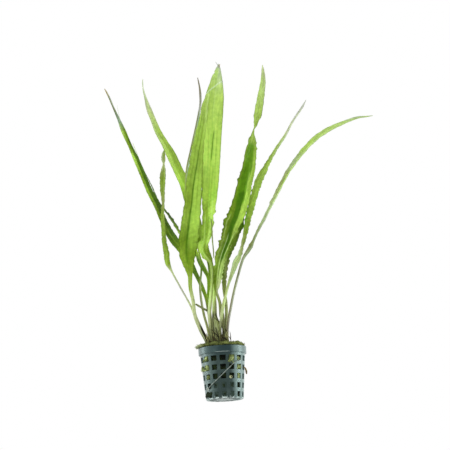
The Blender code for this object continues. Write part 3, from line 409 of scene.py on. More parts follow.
# Loose tufts that bulge over the wall: (degrees, height, half width, half height, how far out)
TUFTS = [
    (-53, 5.0, 6.4, 3.6, 1.5), (22, 38.9, 4.0, 3.6, 1.2), (-58, 39.8, 2.6, 2.8, 1.0),
    (46, 40.6, 2.4, 2.8, 0.9), (-66, 31.0, 4.2, 2.4, 1.3), (-46, 32.0, 2.4, 2.4, 0.6),
    (30, 35.8, 1.4, 1.4, 0.6)]

# Rotted sheaths and root threads between the stalks' feet, with painted shade: (from, to, thickness)
LITTER = [
    ((-9.5, -10.0, 67), (-5.6, -10.6, 57.5), 1.4), ((-6.6, -10.0, 62), (-3.4, -10.6, 57), 1.2),
    ((-1.4, -10.0, 67), (0.6, -10.6, 57.5), 1.5), ((1.8, -9.8, 62), (2.6, -10.4, 57), 1.3),
    ((5.2, -9.4, 64), (6.4, -9.8, 57.5), 1.1), ((-19, -7.5, 73), (-14.5, -8, 60), 0.8),
    ((-17.5, -8, 68), (-13.5, -8.5, 59), 0.8), ((-15.5, -7, 70), (-12, -8, 59), 0.7),
    ((-14, -8.5, 64), (-9, -9, 58.6), 0.7), ((-9.9, -3, 87), (-9.9, -3.5, 74), 0.5),
    ((-10.8, -9.6, 73.5), (-3, -9.6, 64.5), 0.5), ((-7.5, -2.5, 88), (-3, -2.5, 83), 0.4),
    ((-3.2, -2.5, 83.2), (0.4, -2.5, 78), 0.5), ((0.3, -2.8, 78.5), (1.6, -3, 67), 0.5),
    ((-0.6, -9.6, 69), (4, -9.4, 62.5), 0.8), ((4, -6, 77), (5.6, -6.2, 64), 0.45),
    ((2.6, -6.2, 74), (4.2, -6.4, 63), 0.45), ((-12.5, -7.5, 66), (-6, -8.5, 59), 0.5),
    ((-9.8, -10, 66), (-8, -9.5, 59), 0.45), ((-5.5, -9, 72), (-5, -8.5, 62), 0.35),
    ((-4, -8, 66), (1, -8, 59), 0.5), ((-1, -8, 63), (3, -7, 58.5), 0.6), ((2, -7, 65), (5.5, -6, 59), 0.5),
    ((5, -5, 68), (7.5, -5, 59), 0.45), ((7, -4, 66), (10, -5, 58.5), 0.45),
    ((-1.3, -2, 82), (0.3, -2, 91), 0.45), ((-1.0, -1.5, 80), (1.2, -1.5, 88), 0.35),
    ((9, -3, 71), (9.5, -4, 60), 0.4), ((-16, 4, 66), (-12, 3, 58.5), 0.5), ((2, 8, 64), (6, 7, 58.5), 0.5),
    ((-6, 12, 65), (-4, 9, 58.5), 0.5),
]

# Settings of a node that mixes two colours
COLOUR = {"data_type": "RGBA"}
OVERLAY = {"data_type": "RGBA", "blend_type": "OVERLAY"}
DARKEN = {"data_type": "RGBA", "blend_type": "MULTIPLY"}


def linear(code):
    """An sRGB hex colour as linear RGBA."""
    values = [int(code[i:i + 2], 16) / 255 for i in (1, 3, 5)]
    return (*[v / 12.92 if v <= 0.04045 else ((v + 0.055) / 1.055) ** 2.4 for v in values], 1.0)


def add(tree, kind, *inputs, **settings):
    """Add one node: a shader node by its short name, any other node by its full name.

    Inputs are values, sockets or nodes, in the order of its sockets or as one dict by socket. A node
    given as an input links its first output in use. Settings are the node's properties.
    """
    made = tree.nodes.new(kind if "Node" in kind else "ShaderNode" + kind)
    for key, value in settings.items():
        setattr(made, key, value)
    by_socket = inputs[0] if inputs and isinstance(inputs[0], dict) else dict(enumerate(inputs))
    for key, value in by_socket.items():
        if isinstance(value, bpy.types.Node):
            value = next(output for output in value.outputs if output.enabled)
        if isinstance(value, bpy.types.NodeSocket):
            tree.links.new(value, made.inputs[key])
        else:
            made.inputs[key].default_value = value
    return made


def empty_material(name):
    """A material with nothing in its tree yet."""
    material = bpy.data.materials.new(name)
    material.use_nodes = True
    material.node_tree.nodes.clear()
    return material, material.node_tree


def shaded(tree, value, low, high, first, second, most=1.0):
    """One colour turning into another as a value goes from low to high, by at most this share."""
    share = add(tree, "MapRange", value, low, high, 0.0, most)
    first, second = (linear(colour) if isinstance(colour, str) else colour for colour in (first, second))
    return add(tree, "Mix", {0: share, 6: first, 7: second}, **COLOUR)


def blade_place(tree, wide, long):
    """A flat place on a blade, from its distances across and along, each scaled."""
    across = add(tree, "Attribute", attribute_name="across").outputs["Fac"]
    along = add(tree, "Attribute", attribute_name="along").outputs["Fac"]
    return add(tree, "CombineXYZ", add(tree, "Math", across, wide, operation="MULTIPLY"),
               add(tree, "Math", along, long, operation="MULTIPLY"))


def proud_of_wall(tree, place):
    """How far a place stands out from the pot's outer wall, in metres."""
    x, y, z = add(tree, "SeparateXYZ", place).outputs
    reach = add(tree, "VectorMath", add(tree, "CombineXYZ", x, y), operation="LENGTH").outputs["Value"]
    slope = (WALL_TOP_RADIUS - WALL_BOTTOM_RADIUS) / COLLAR_BOTTOM
    wall = add(tree, "Math", z, slope, WALL_BOTTOM_RADIUS * MM, operation="MULTIPLY_ADD")
    return add(tree, "Math", reach, wall, operation="SUBTRACT")


def leaf_material(name, translucent, roughness):
    """Living leaf of an aquatic plant: thin, softly shining, lit from behind, with fine veins along it."""
    material, tree = empty_material(name)
    place = add(tree, "TexCoord").outputs["Object"]
    # streaks 1.4 mm wide and 15 mm long, and blotches 4 mm wide
    streaks = add(tree, "TexNoise", {"Vector": blade_place(tree, 0.32, 0.03), "Scale": 2.2, "Detail": 4.0})
    blotches = add(tree, "TexNoise", {"Vector": place, "Scale": 260.0, "Detail": 5.0})
    streaky = add(tree, "MapRange", streaks, 0.32, 0.68, 0.12, 0.88)
    blotchy = add(tree, "MapRange", blotches, 0.32, 0.68, 0.15, 0.85)
    colour = add(tree, "Attribute", attribute_name="tint").outputs["Color"]
    colour = add(tree, "Mix", {0: 0.15, 6: colour, 7: streaky}, **OVERLAY)
    colour = add(tree, "Mix", {0: 0.2, 6: colour, 7: blotchy}, **OVERLAY)
    # thin darker veins that run the whole blade
    threads = add(tree, "TexNoise", {"Vector": blade_place(tree, 1.35, 0.014), "Scale": 1.0, "Detail": 1.0})
    darker = add(tree, "Mix", {0: 1.0, 6: colour, 7: (0.62, 0.72, 0.4, 1.0)}, **DARKEN)
    colour = shaded(tree, threads, 0.56, 0.66, colour, darker, 0.36)
    # cross veins, 2 to 4 mm apart
    cells = add(tree, "TexVoronoi", {"Vector": blade_place(tree, 0.75, 0.33), "Scale": 1.0},
                feature="DISTANCE_TO_EDGE").outputs["Distance"]
    veins = add(tree, "MapRange", cells, 0.0, 0.12, 1.0, 0.0)
    darker = add(tree, "Mix", {0: 1.0, 6: colour, 7: (0.80, 0.84, 0.7, 1.0)}, **DARKEN)
    colour = shaded(tree, veins, 0.0, 1.0, colour, darker, 0.3)
    colour = add(tree, "HueSaturation", {"Color": colour, "Saturation": 0.99, "Value": 1.13})
    height = add(tree, "Math", streaks, veins, operation="ADD")
    bump = add(tree, "Bump", {"Strength": 0.35, "Distance": 0.0002, "Height": height})
    skin = add(tree, "BsdfPrincipled", {
        "Base Color": colour, "IOR": 1.42, "Specular IOR Level": 0.15, "Normal": bump,
        "Roughness": add(tree, "MapRange", blotches, 0.3, 0.7, roughness - 0.08, roughness + 0.08)})
    glow = add(tree, "BsdfTranslucent", {"Color": add(tree, "Gamma", colour, 0.75), "Normal": bump})
    add(tree, "OutputMaterial", add(tree, "MixShader", translucent, skin, glow))
    return material


def polypropylene():
    """Moulded dark polypropylene with a soft sheen, dried algae and lime, painted highlights and shade."""
    material, tree = empty_material("moulded_polypropylene")
    place = add(tree, "TexCoord").outputs["Object"]
    x, y, z = add(tree, "SeparateXYZ", place).outputs
    # clouds about 8 mm wide, a moulded grain of 0.7 mm
    cloud = add(tree, "TexNoise", {"Vector": place, "Scale": 130.0, "Detail": 1.5})
    grain = add(tree, "TexNoise", {"Vector": place, "Scale": 1500.0, "Detail": 2.0})
    base = shaded(tree, z, 0.049, 0.040, "#0e2327", "#1b2825")
    # painted shade, darker towards the foot
    base = shaded(tree, z, 0.020, 0.006, base, "#0d1513", 0.45)
    base = add(tree, "Mix", {0: 0.3, 6: base, 7: cloud}, **OVERLAY)
    base = shaded(tree, cloud, 0.56, 0.72, base, "#5b6c66", 0.15)
    # painted highlight along the collar's lower edge in front
    edge = add(tree, "Math", add(tree, "MapRange", z, 0.0479, 0.0475),
               add(tree, "MapRange", z, 0.0469, 0.0471), operation="MULTIPLY")
    front = add(tree, "MapRange", y, -0.0235, -0.0243, 0.0, 0.32)
    edge = add(tree, "Math", edge, front, operation="MULTIPLY")
    # and pale lime film with painted highlight on the foot below each window, scuffed off in spots of 2 mm
    turn = add(tree, "Math", x, y, operation="ARCTAN2")
    beat = add(tree, "Math", turn, float(COLUMNS), operation="MULTIPLY")
    beat = add(tree, "MapRange", add(tree, "Math", beat, operation="COSINE"), 0.75, 0.1)
    scuff = add(tree, "TexNoise", {"Vector": place, "Scale": 420.0, "Detail": 2.0})
    dashes = add(tree, "Math", beat, add(tree, "MapRange", scuff, 0.38, 0.5), operation="MULTIPLY")
    low = add(tree, "Math", add(tree, "MapRange", z, 0.0028, 0.0010), dashes, operation="MULTIPLY")
    foot = add(tree, "MapRange", z, 0.0007, 0.0002, 0.0, 0.22)
    low = add(tree, "Math", low, foot, operation="MAXIMUM")
    # pale lime film and painted highlight, in one colour
    lime_and_highlight = add(tree, "Math", edge, low, operation="MAXIMUM")
    base = add(tree, "Mix", {0: lime_and_highlight, 6: base, 7: linear("#c3d2cd")}, **COLOUR)
    # painted highlight on the bars and the collar at both sides, laid on as a thin pale film
    sides = add(tree, "Math", add(tree, "MapRange", x, 0.0080, 0.0135, 0.0, 0.62),
                add(tree, "MapRange", x, -0.0060, -0.0190, 0.0, 0.32), operation="MAXIMUM")
    for less in (add(tree, "MapRange", z, 0.0475, 0.0465, 0.62, 1.0),
                 add(tree, "MapRange", cloud, 0.25, 0.75, 0.8, 1.0)):
        sides = add(tree, "Math", sides, less, operation="MULTIPLY")
    base = add(tree, "Mix", {0: sides, 6: base, 7: linear("#8da6a1")}, **COLOUR)
    plastic = add(tree, "BsdfPrincipled", {
        "Base Color": base, "Roughness": add(tree, "MapRange", cloud, 0.3, 0.7, 0.3, 0.4), "IOR": 1.49,
        "Specular IOR Level": 0.6, "Specular Tint": (0.72, 1.0, 0.96, 1.0),
        "Normal": add(tree, "Bump", {"Strength": 0.05, "Distance": 0.0001, "Height": grain})})
    add(tree, "OutputMaterial", plastic)
    return material


def mineral_wool():
    """Matted mineral wool, green with algae where light reaches it, painted dark as shade inside the pot."""
    material, tree = empty_material("mineral_wool")
    place = add(tree, "TexCoord").outputs["Object"]
    x, _, z = add(tree, "SeparateXYZ", place).outputs
    # a tangle of 1 mm in patches of 4 to 5 mm
    tangle = add(tree, "TexNoise", {"Vector": place, "Scale": 900.0, "Detail": 4.0})
    patches = add(tree, "TexNoise", {"Vector": place, "Scale": 220.0, "Detail": 3.0})
    tuft = shaded(tree, patches, 0.4, 0.6, "#4a5528", "#93a36b")
    tuft = add(tree, "Mix", {0: 0.6, 6: tuft, 7: add(tree, "MapRange", tangle, 0.3, 0.7)}, **OVERLAY)
    tuft = shaded(tree, z, 0.0170, 0.0180, shaded(tree, tangle, 0.4, 0.6, "#0d140b", "#26331c"), tuft)
    dark = shaded(tree, patches, 0.4, 0.65, "#0b100a", "#2a381b")
    # painted shade: wool set back behind the wall is painted near black
    side = shaded(tree, proud_of_wall(tree, place), -0.0022, -0.0002, dark, tuft)
    crown = shaded(tree, patches, 0.35, 0.65, "#353b1a", "#727c42")
    crown = shaded(tree, x, -0.019, -0.027, crown, "#a3ae8a", 0.7)
    crown = add(tree, "Mix", {0: 0.6, 6: crown, 7: tangle}, **OVERLAY)
    wool = add(tree, "BsdfPrincipled", {
        "Base Color": shaded(tree, z, 0.0515, 0.0535, side, crown), "Roughness": 0.92,
        "Specular IOR Level": 0.15,
        "Normal": add(tree, "Bump", {"Strength": 0.8, "Distance": 0.0006, "Height": tangle})})
    add(tree, "OutputMaterial", wool)
    return material


def silt():
    """Grey-green silt the tone of the pot, in clouds of 3 mm, with painted shade where it sinks in."""
    material, tree = empty_material("silt_and_algae")
    place = add(tree, "TexCoord").outputs["Object"]
    cloud = add(tree, "TexNoise", {"Vector": place, "Scale": 300.0, "Detail": 4.0})
    base = shaded(tree, cloud, 0.35, 0.65, "#1f2b26", "#333f39")
    # painted shade where the silt sinks in
    base = shaded(tree, proud_of_wall(tree, place), -0.0003, -0.0009, base, "#10180e")
    add(tree, "OutputMaterial", add(tree, "BsdfPrincipled", {
        "Base Color": base, "Roughness": 0.75, "Specular IOR Level": 0.2,
        "Specular Tint": (0.6, 1.0, 0.8, 1.0)}))
    return material


def plant_fibre(name, light, dark, roughness):
    """Dry or pale stringy plant matter, in bands of 3 mm along its length, with specks of 1 mm."""
    material, tree = empty_material(name)
    place = add(tree, "TexCoord").outputs["Object"]
    along = add(tree, "Attribute", attribute_name="along").outputs["Fac"]
    bands = add(tree, "TexNoise", {"W": along, "Scale": 0.35, "Detail": 3.0}, noise_dimensions="1D")
    specks = add(tree, "TexNoise", {"Vector": place, "Scale": 1100.0, "Detail": 3.0})
    colour = shaded(tree, bands, 0.35, 0.65, dark, light)
    add(tree, "OutputMaterial", add(tree, "BsdfPrincipled", {
        "Base Color": add(tree, "Mix", {0: 0.4, 6: colour, 7: specks}, **OVERLAY),
        "Roughness": roughness, "Specular IOR Level": 0.3,
        "Normal": add(tree, "Bump", {"Strength": 0.5, "Distance": 0.0002, "Height": specks})}))
    return material


def floor_material():
    """Opal sheet lit softly from beneath, seen only from above: from below it is clear."""
    material, tree = empty_material("opal_sheet")
    card = add(tree, "BsdfPrincipled", {
        "Base Color": linear("#8f8f8e"), "Roughness": 0.9, "Emission Color": (1, 1, 1, 1),
        "Emission Strength": 0.72})
    behind = add(tree, "NewGeometry").outputs["Backfacing"]
    add(tree, "OutputMaterial", add(tree, "MixShader", behind, card, add(tree, "BsdfTransparent")))
    return material


def curve(rows, steps):
    """Catmull-Rom values at each step, where whole numbers are the rows."""
    rows = np.asarray(rows, float)
    last = len(rows) - 1
    before = np.minimum(steps.astype(int), last - 1)
    part = (steps - before)[:, None]
    p0, p1, p2, p3 = (rows[np.clip(before + k, 0, last)] for k in (-1, 0, 1, 2))
    return 0.5 * (2 * p1 + (p2 - p0) * part + (2 * p0 - 5 * p1 + 4 * p2 - p3) * part ** 2
                  + (3 * p1 - p0 - 3 * p2 + p3) * part ** 3)


def even_steps(places, step):
    """Positions along the rows that are one step apart, and the length walked at each."""
    dense = np.linspace(0, len(places) - 1, 60 * (len(places) - 1) + 1)
    line = curve(places, dense)
    walked = np.concatenate([[0.0], np.cumsum(np.linalg.norm(np.diff(line, axis=0), axis=1))])
    lengths = np.linspace(0, walked[-1], max(3, int(walked[-1] / step) + 1))
    return np.interp(lengths, walked, dense), lengths


def unit(vectors):
    """Each row at length 1."""
    return vectors / np.maximum(np.linalg.norm(vectors, axis=1, keepdims=True), 1e-9)


def softened(values, reach):
    """Values with their corners rounded over a few neighbours."""
    weights = np.exp(-np.linspace(-2, 2, 2 * reach + 1) ** 2)
    padded = np.pad(values, reach, mode="edge")
    return np.convolve(padded, weights / weights.sum(), mode="valid")


def ripple(along, wave, seed):
    """Uneven waves between about -1 and 1 for one margin."""
    rng = np.random.default_rng(seed)
    total = np.zeros_like(along)
    for share, scale in ((0.55, 1.0), (0.35, 0.61), (0.22, 0.37)):
        length = wave * scale * rng.uniform(0.9, 1.1)
        total += share * np.sin(2 * math.pi * along / length + rng.uniform(0, 2 * math.pi)
                                + 0.8 * np.sin(2 * math.pi * along / (wave * 3.3)))
    return total


def margins(share, along, left, right):
    """Ripples that differ on a leaf's two halves, each from its wave length and seed."""
    return np.where(share < 0, ripple(along, *left), ripple(along, *right))


def between(values, low, high, rise, fall):
    """1 between two levels, with soft ends of these lengths inside them."""
    return np.clip((values - low) / rise, 0, 1) * np.clip((high - values) / fall, 0, 1)


def split_stops(stops):
    """Heights, and what is at each, from stops such as "50 foot, 66 pale"."""
    levels, values = zip(*[stop.split() for stop in stops.split(", ")])
    return np.array(levels, float), values


def toned(stops, heights):
    """Linear colours at these heights from stops of named tones."""
    levels, tones = split_stops(stops)
    colours = np.array([linear(TONE[tone])[:3] for tone in tones])
    return np.stack([np.interp(heights, levels, colours[:, k]) for k in range(3)], axis=-1)


def linked(name, data):
    """A new object in the scene."""
    obj = bpy.data.objects.new(name, data)
    bpy.context.collection.objects.link(obj)
    return obj


def mesh_object(name, material, verts, faces, attributes):
    """A smooth mesh in metres from places in millimetres, with point attributes."""
    mesh = bpy.data.meshes.new(name)
    mesh.from_pydata((np.asarray(verts) * MM).tolist(), [], faces)
    mesh.validate()
    mesh.materials.append(material)
    for key, values in attributes.items():
        values = np.asarray(values, np.float32)
        if values.ndim == 1:
            mesh.attributes.new(key, "FLOAT", "POINT").data.foreach_set("value", values)
        else:
            full = np.ones((len(values), 4), np.float32)
            full[:, :3] = values
            mesh.attributes.new(key, "FLOAT_COLOR", "POINT").data.foreach_set("color", full.ravel())
    mesh.shade_smooth()
    return linked(name, mesh)


def ring_faces(rings, count):
    """Quads between rings of vertices, and the two end faces."""
    faces = []
    for i in range(rings - 1):
        for k in range(count):
            n = (k + 1) % count
            faces.append((i * count + k, i * count + n, (i + 1) * count + n, (i + 1) * count + k))
    faces.append(tuple(reversed(range(count))))
    faces.append(tuple((rings - 1) * count + k for k in range(count)))
    return faces


def show(obj, slot, *nodes):
    """The piece goes with the plant and stands for these solids."""
    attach(obj, "root")
    if nodes:
        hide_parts(*nodes)
    return obj


def leaf_rows(name):
    """A leaf's rows at even steps, each as a column: length, centre, width, turn, fold and share of blade."""
    blade_from, rows = LEAVES[name]
    rows = np.array([(*row, 0, 0)[:6] for row in rows], float)
    steps, along = even_steps(rows[:, :3], RING_STEP)

    def rounded(column, reach):
        return softened(np.interp(steps, np.arange(len(rows)), rows[:, column]), reach)[:, None]

    width = rounded(3, ROUNDED_RINGS)
    turn = np.radians(rounded(4, 2 * ROUNDED_RINGS))
    fold = np.radians(rounded(5, 2 * ROUNDED_RINGS))
    blade = np.clip((steps - blade_from + 0.3) / 1.3, 0, 1)[:, None]
    blade = blade * blade * (3 - 2 * blade)
    return along[:, None], curve(rows[:, :3], steps), width, turn, fold, blade


def shape_leaf(name, seed):
    """One leaf's rings of places, then what its colours need."""
    along, centre, width, turn, fold, blade = leaf_rows(name)
    depth, wave, ragged = WAVES[name]
    low, high, extra = CRIMPED.get(name, (0, 1, 0))
    height = centre[:, 2:]
    left_over = along[-1] - along
    width = width * np.clip(0.35 + left_over / 7.0, 0.35, 1.0)

    ahead = unit(np.gradient(centre, axis=0))
    towards = np.array([0.0, -1.0, 0.0])
    face = unit(towards - ahead * (ahead @ towards)[:, None])
    face = face * np.cos(turn) + np.cross(ahead, face) * np.sin(turn)
    side = np.cross(ahead, face)

    # shares across the front and then back across the rear, closer together near the midrib
    even = np.linspace(-1, 1, ACROSS + 1)
    front = even * (0.5 + 0.5 * np.abs(even))
    share = np.concatenate([front, front[-2:0:-1]])[None, :]
    back = np.arange(share.size) >= len(front)
    spread = np.abs(share)

    crimped = extra * between(height, low, high, 8, 12)
    calm = 1 - 0.6 * np.clip((height - 262) / 15, 0, 1)
    crimp = (depth + crimped) * np.clip(width / 8.0, 0.15, 1.2) * blade * calm
    waves = margins(share, along, (wave, seed), (wave * 0.93, seed + 50))
    edge = margins(share, along, (wave * 0.42, seed + 100), (wave * 0.47, seed + 150))
    lobes = margins(share, along, (wave * 0.95, seed + 170), (wave * 0.8, seed + 190))
    uneven = 0.55 * crimped * lobes + ragged * calm * edge * np.clip(width / 7.0, 0.1, 1.0) * blade
    reach = share * (width + 0.5 * blade) / 2 + np.sign(share) * uneven * spread ** 4
    for level, which, amount, length in NICKS.get(name, []):
        near = np.exp(-((height - level) / (length / 2)) ** 2)
        reach = reach + np.where(np.sign(share) == which, which * amount * near * spread ** 6, 0.0)

    bend = np.maximum(np.sqrt(reach ** 2 + 0.3) - 0.55, 0)
    lift = bend * np.sin(fold) * blade + crimp * waves * spread ** 2.2
    blister = ripple(along, 5.2, seed + 200) * np.sin(share * 7.0 + 0.05 * along)
    lift += 0.1 * blister * (1 - spread ** 6) * blade * np.clip((width - 7) / 8, 0, 1)
    # long shallow channels beside the midrib
    lift += 0.1 * np.cos(share * 3 * math.pi) * blade * np.clip(width / 10, 0, 1)

    stalk = 0.5 * np.minimum(width, STALK_THICKNESS) * np.sqrt(np.clip(1 - share * share, 0, 1))
    rib = 0.62 * np.clip(width / 12.0, 0.25, 1.0) * np.clip(left_over / 60.0, 0.2, 1.0)
    rib = rib * np.exp(-(reach / 0.55) ** 2)
    groove = 0.1 * np.exp(-(reach / 0.4) ** 2)
    skin = 0.5 * LAMINA * (1 - spread ** 10) + np.where(back, rib, -groove)
    half = stalk * (1 - blade) + skin * blade
    lift = lift + np.where(back, -half, half)
    places = (centre[:, None, :] + side[:, None, :] * (reach * np.cos(fold))[:, :, None]
              + face[:, None, :] * lift[:, :, None])
    return places, along, height, width, blade, share, reach


def line_cover(line, thick, share, height, width):
    """How much of each point is covered by a line through these (share across, height)."""
    shares, levels = np.array(sorted(line, key=lambda place: place[1])).T
    at = np.interp(height, levels, shares)
    gap = (share - at) * width / 2
    if levels[-1] - levels[0] > 18:
        inside = between(height, levels[0], levels[-1], 5, 5)
    else:
        # a crease that runs across the blade
        inside = (height > levels[0]) & (height < levels[-1])
        rise = np.abs(np.gradient(at[:, 0], height[:, 0]))[:, None] * width / 2
        gap = gap / np.maximum(1.0, rise)
    if thick > 2.4:
        return np.clip((thick / 2 + 0.3 - np.abs(gap)) / 0.6, 0, 1) * inside
    return np.exp(-(gap / (thick / 2)) ** 2) * inside


def tint_leaf(name, seed, along, height, width, blade, share, reach):
    """The colours of one leaf's points, with painted light and shade."""
    left, right, middle = SHADES[name]
    low, high, extra = CRIMPED.get(name, (0, 1, 0))
    spread = np.abs(share)
    levels = height + 3.0 * ripple(along, 21.0, seed + 300) * (0.4 + spread)
    on_right = np.clip(0.5 + reach / 0.7, 0, 1)[:, :, None]
    near_rib = 0.9 * (np.exp(-(reach / 0.75) ** 2) * np.clip(width / 6, 0, 1))[:, :, None]
    # each half's tones also carry its painted light and shade
    tint = toned(left, levels) * (1 - on_right) + toned(right, levels) * on_right
    tint = tint * (1 - near_rib) + toned(middle, levels) * near_rib

    # a darker margin, and light and dark flecks where the blade is crimped
    light = 1 - 0.3 * spread ** 12 * blade
    flecks = np.clip(ripple(along, 4.1, seed + 400) * np.sin(share * 9.0 + 0.21 * along), -0.5, 1.0)
    flecks = flecks * extra * between(height, low, high + 12, 10, 14) * (1 - spread ** 6)
    light = light * (1 + 0.15 * flecks)
    # old sheath fibres, dark and pale, along the stalk's foot
    fibres = np.sin(share * 9.0 + 1.3 * ripple(along, 11.0, seed + 500) + seed)
    fibres = np.clip(fibres * ripple(along, 6.5, seed + 600), -1, 0.7)
    light = light * (1 + 0.5 * np.clip((96 - height) / 22, 0, 1) * fibres)
    tint = tint * light[:, :, None]

    for tone, line, thick, strength in LINES.get(name, []):
        amount = strength * line_cover(line, thick, share, height, width)[:, :, None]
        tint = tint * (1 - amount) + np.array(linear(TONE[tone])[:3]) * amount

    # painted light and shade up the leaf
    levels, lights = split_stops(PAINTED_LIGHTNESS[name])
    tint = tint * np.interp(height, levels, np.array(lights, float))[:, :, None]
    vivid = 1 - tint.min(axis=2) / np.maximum(tint.max(axis=2), 1e-6)
    vivid = np.clip((vivid - 0.45) / 0.35, 0, 1)
    return tint * (1 + (WARMTH - 1) * vivid[:, :, None])


def build_leaf(name, seed):
    """One leaf: round stalk, then a thin folded blade with a raised midrib and waved margins."""
    places, along, height, width, blade, share, reach = shape_leaf(name, seed)
    tint = tint_leaf(name, seed, along, height, width, blade, share, reach)
    count = share.size
    attributes = {"tint": tint.reshape(-1, 3), "along": np.repeat(along, count), "across": reach.ravel()}
    return places.reshape(-1, 3), ring_faces(len(along), count), attributes


def tube(points, radii, sides, step, seed, rough):
    """Vertices, faces and lengths of a round strand through the points."""
    points = np.asarray(points, float)
    steps, along = even_steps(points, step)
    line = curve(points, steps)
    radius = np.interp(steps, np.arange(len(points)), radii)
    ahead = unit(np.gradient(line, axis=0))
    first = unit(np.cross(ahead, np.array([0.3, -0.9, 0.3])))
    second = np.cross(ahead, first)
    angles = np.arange(sides) * 2 * math.pi / sides
    bulge = 1 + rough * np.random.default_rng(seed).uniform(-1, 1, (len(steps), sides))
    offsets = (first[:, None, :] * np.cos(angles)[None, :, None]
               + second[:, None, :] * np.sin(angles)[None, :, None])
    verts = line[:, None, :] + offsets * (radius[:, None] * bulge)[:, :, None]
    return verts.reshape(-1, 3), ring_faces(len(steps), sides), {"along": np.repeat(along, sides)}


def joined(pieces):
    """Several (verts, faces, attributes) as one."""
    verts, faces, attributes, base = [], [], {}, 0
    for piece_verts, piece_faces, piece_attributes in pieces:
        verts.append(piece_verts)
        faces += [tuple(base + i for i in face) for face in piece_faces]
        base += len(piece_verts)
        for key, values in piece_attributes.items():
            attributes.setdefault(key, []).append(values)
    return np.vstack(verts), faces, {key: np.concatenate(values) for key, values in attributes.items()}


def strand(points, radii, tone, seed):
    """A thin dry strand that belongs to a leaf."""
    verts, faces, attributes = tube(points, radii, 6, 0.8, seed, 0.15)
    attributes.update(tint=np.tile(linear(TONE[tone])[:3], (len(verts), 1)), across=np.zeros(len(verts)))
    return verts, faces, attributes


def build_leaves(green, dry):
    """All eleven leaves, each with its dry strands."""
    for number, name in enumerate(LEAVES):
        strands = [strand(places, radii, tone, number) for tone, places, radii in STRANDS.get(name, [])]
        pieces = [build_leaf(name, 1000 + 7 * number)] + strands
        material, slot = (dry, "dry_leaf") if name == "leaf_dried" else (green, "fresh_leaf")
        show(mesh_object("fine_" + name, material, *joined(pieces)), slot, name)


def wall_radius(z):
    """Outside radius of the pot's tapered wall."""
    return WALL_BOTTOM_RADIUS + (WALL_TOP_RADIUS - WALL_BOTTOM_RADIUS) * z / COLLAR_BOTTOM


def bar_width(z):
    """Width of the pot's upright bars."""
    return BAR_WIDTH_BOTTOM + (BAR_WIDTH_TOP - BAR_WIDTH_BOTTOM) * z / COLLAR_BOTTOM


def around(radius, degrees, z):
    """A place at this radius from the pot's axis, degrees from -Y towards +X, in millimetres."""
    turn = math.radians(degrees)
    return Vector((radius * math.sin(turn), -radius * math.cos(turn), z))


def pot_angles(half_bar):
    """Angles round the pot: each window's arc, then the bar beside it."""
    pitch = 360.0 / COLUMNS
    half_window = pitch / 2 - half_bar
    one = [-half_window + 2 * half_window * k / WINDOW_PARTS for k in range(WINDOW_PARTS)]
    one += [half_window + 2 * half_bar * k / BAR_PARTS for k in range(BAR_PARTS)]
    return [column * pitch + angle for column in range(COLUMNS) for angle in one]


def pot_ring(bm, radius, z, half_bar=None):
    """One ring of vertices of the pot."""
    if half_bar is None:
        half_bar = math.degrees(bar_width(z) / (2 * wall_radius(z)))
    return [bm.verts.new(around(radius, angle, z) * MM) for angle in pot_angles(half_bar)]


def join_pot(bm, lower, upper, open_windows=False):
    """Quads between two rings, leaving out the windows where they are open."""
    count = len(lower)
    for i in range(count):
        if open_windows and i % (WINDOW_PARTS + BAR_PARTS) < WINDOW_PARTS:
            continue
        j = (i + 1) % count
        bm.faces.new((lower[i], lower[j], upper[j], upper[i]))


def line_pot_windows(bm, outer_low, outer_high, inner_low, inner_high):
    """The cut faces of every window of one row."""
    for column in range(COLUMNS):
        first = column * (WINDOW_PARTS + BAR_PARTS)
        last = first + WINDOW_PARTS
        for i in range(first, last):
            bm.faces.new((outer_low[i], outer_low[i + 1], inner_low[i + 1], inner_low[i]))
            bm.faces.new((outer_high[i], outer_high[i + 1], inner_high[i + 1], inner_high[i]))
        for i in (first, last):
            bm.faces.new((outer_low[i], outer_high[i], inner_high[i], inner_low[i]))


def pot_walls(bm):
    """Build the lattice walls and the collar, and give the lowest ring of each wall."""
    tops = [WINDOW_TOP - row * WINDOW_PITCH for row in reversed(range(ROWS))]
    outer, inner = ([[pot_ring(bm, wall_radius(z) - inset, z) for z in (top - WINDOW_HEIGHT, top)]
                     for top in tops] for inset in (0.0, WALL_THICKNESS))
    for row in range(ROWS):
        for wall in (outer, inner):
            join_pot(bm, wall[row][0], wall[row][1], open_windows=True)
            if row:
                join_pot(bm, wall[row - 1][1], wall[row][0])
        line_pot_windows(bm, *outer[row], *inner[row])
    below = outer[-1][1]
    for radius, z in ((WALL_TOP_RADIUS, COLLAR_BOTTOM), (RIM_RADIUS - 0.05, COLLAR_BOTTOM),
                      (RIM_RADIUS, POT_HEIGHT), (WALL_TOP_RADIUS - WALL_THICKNESS + 0.4, POT_HEIGHT)):
        ring = pot_ring(bm, radius, z, math.degrees(BAR_WIDTH_TOP / (2 * WALL_TOP_RADIUS)))
        join_pot(bm, below, ring)
        below = ring
    join_pot(bm, below, inner[-1][1])
    return outer[0][0], inner[0][0]


def pot_base(bm, outer, inner):
    """The slotted base, from its spokes to its disc."""
    edge = pot_ring(bm, WALL_BOTTOM_RADIUS - 0.5, 0.0)
    join_pot(bm, outer, edge)
    levels = []
    for start, z in ((edge, 0.0), (inner, BASE_THICKNESS)):
        rings = [pot_ring(bm, radius, z, math.degrees(SPOKE_WIDTH / (2 * radius)))
                 for radius in (SLOT_OUTER_RADIUS, DISC_RADIUS)]
        join_pot(bm, start, rings[0])
        join_pot(bm, *rings, open_windows=True)
        bm.faces.new(rings[1])
        levels += rings
    line_pot_windows(bm, *levels)


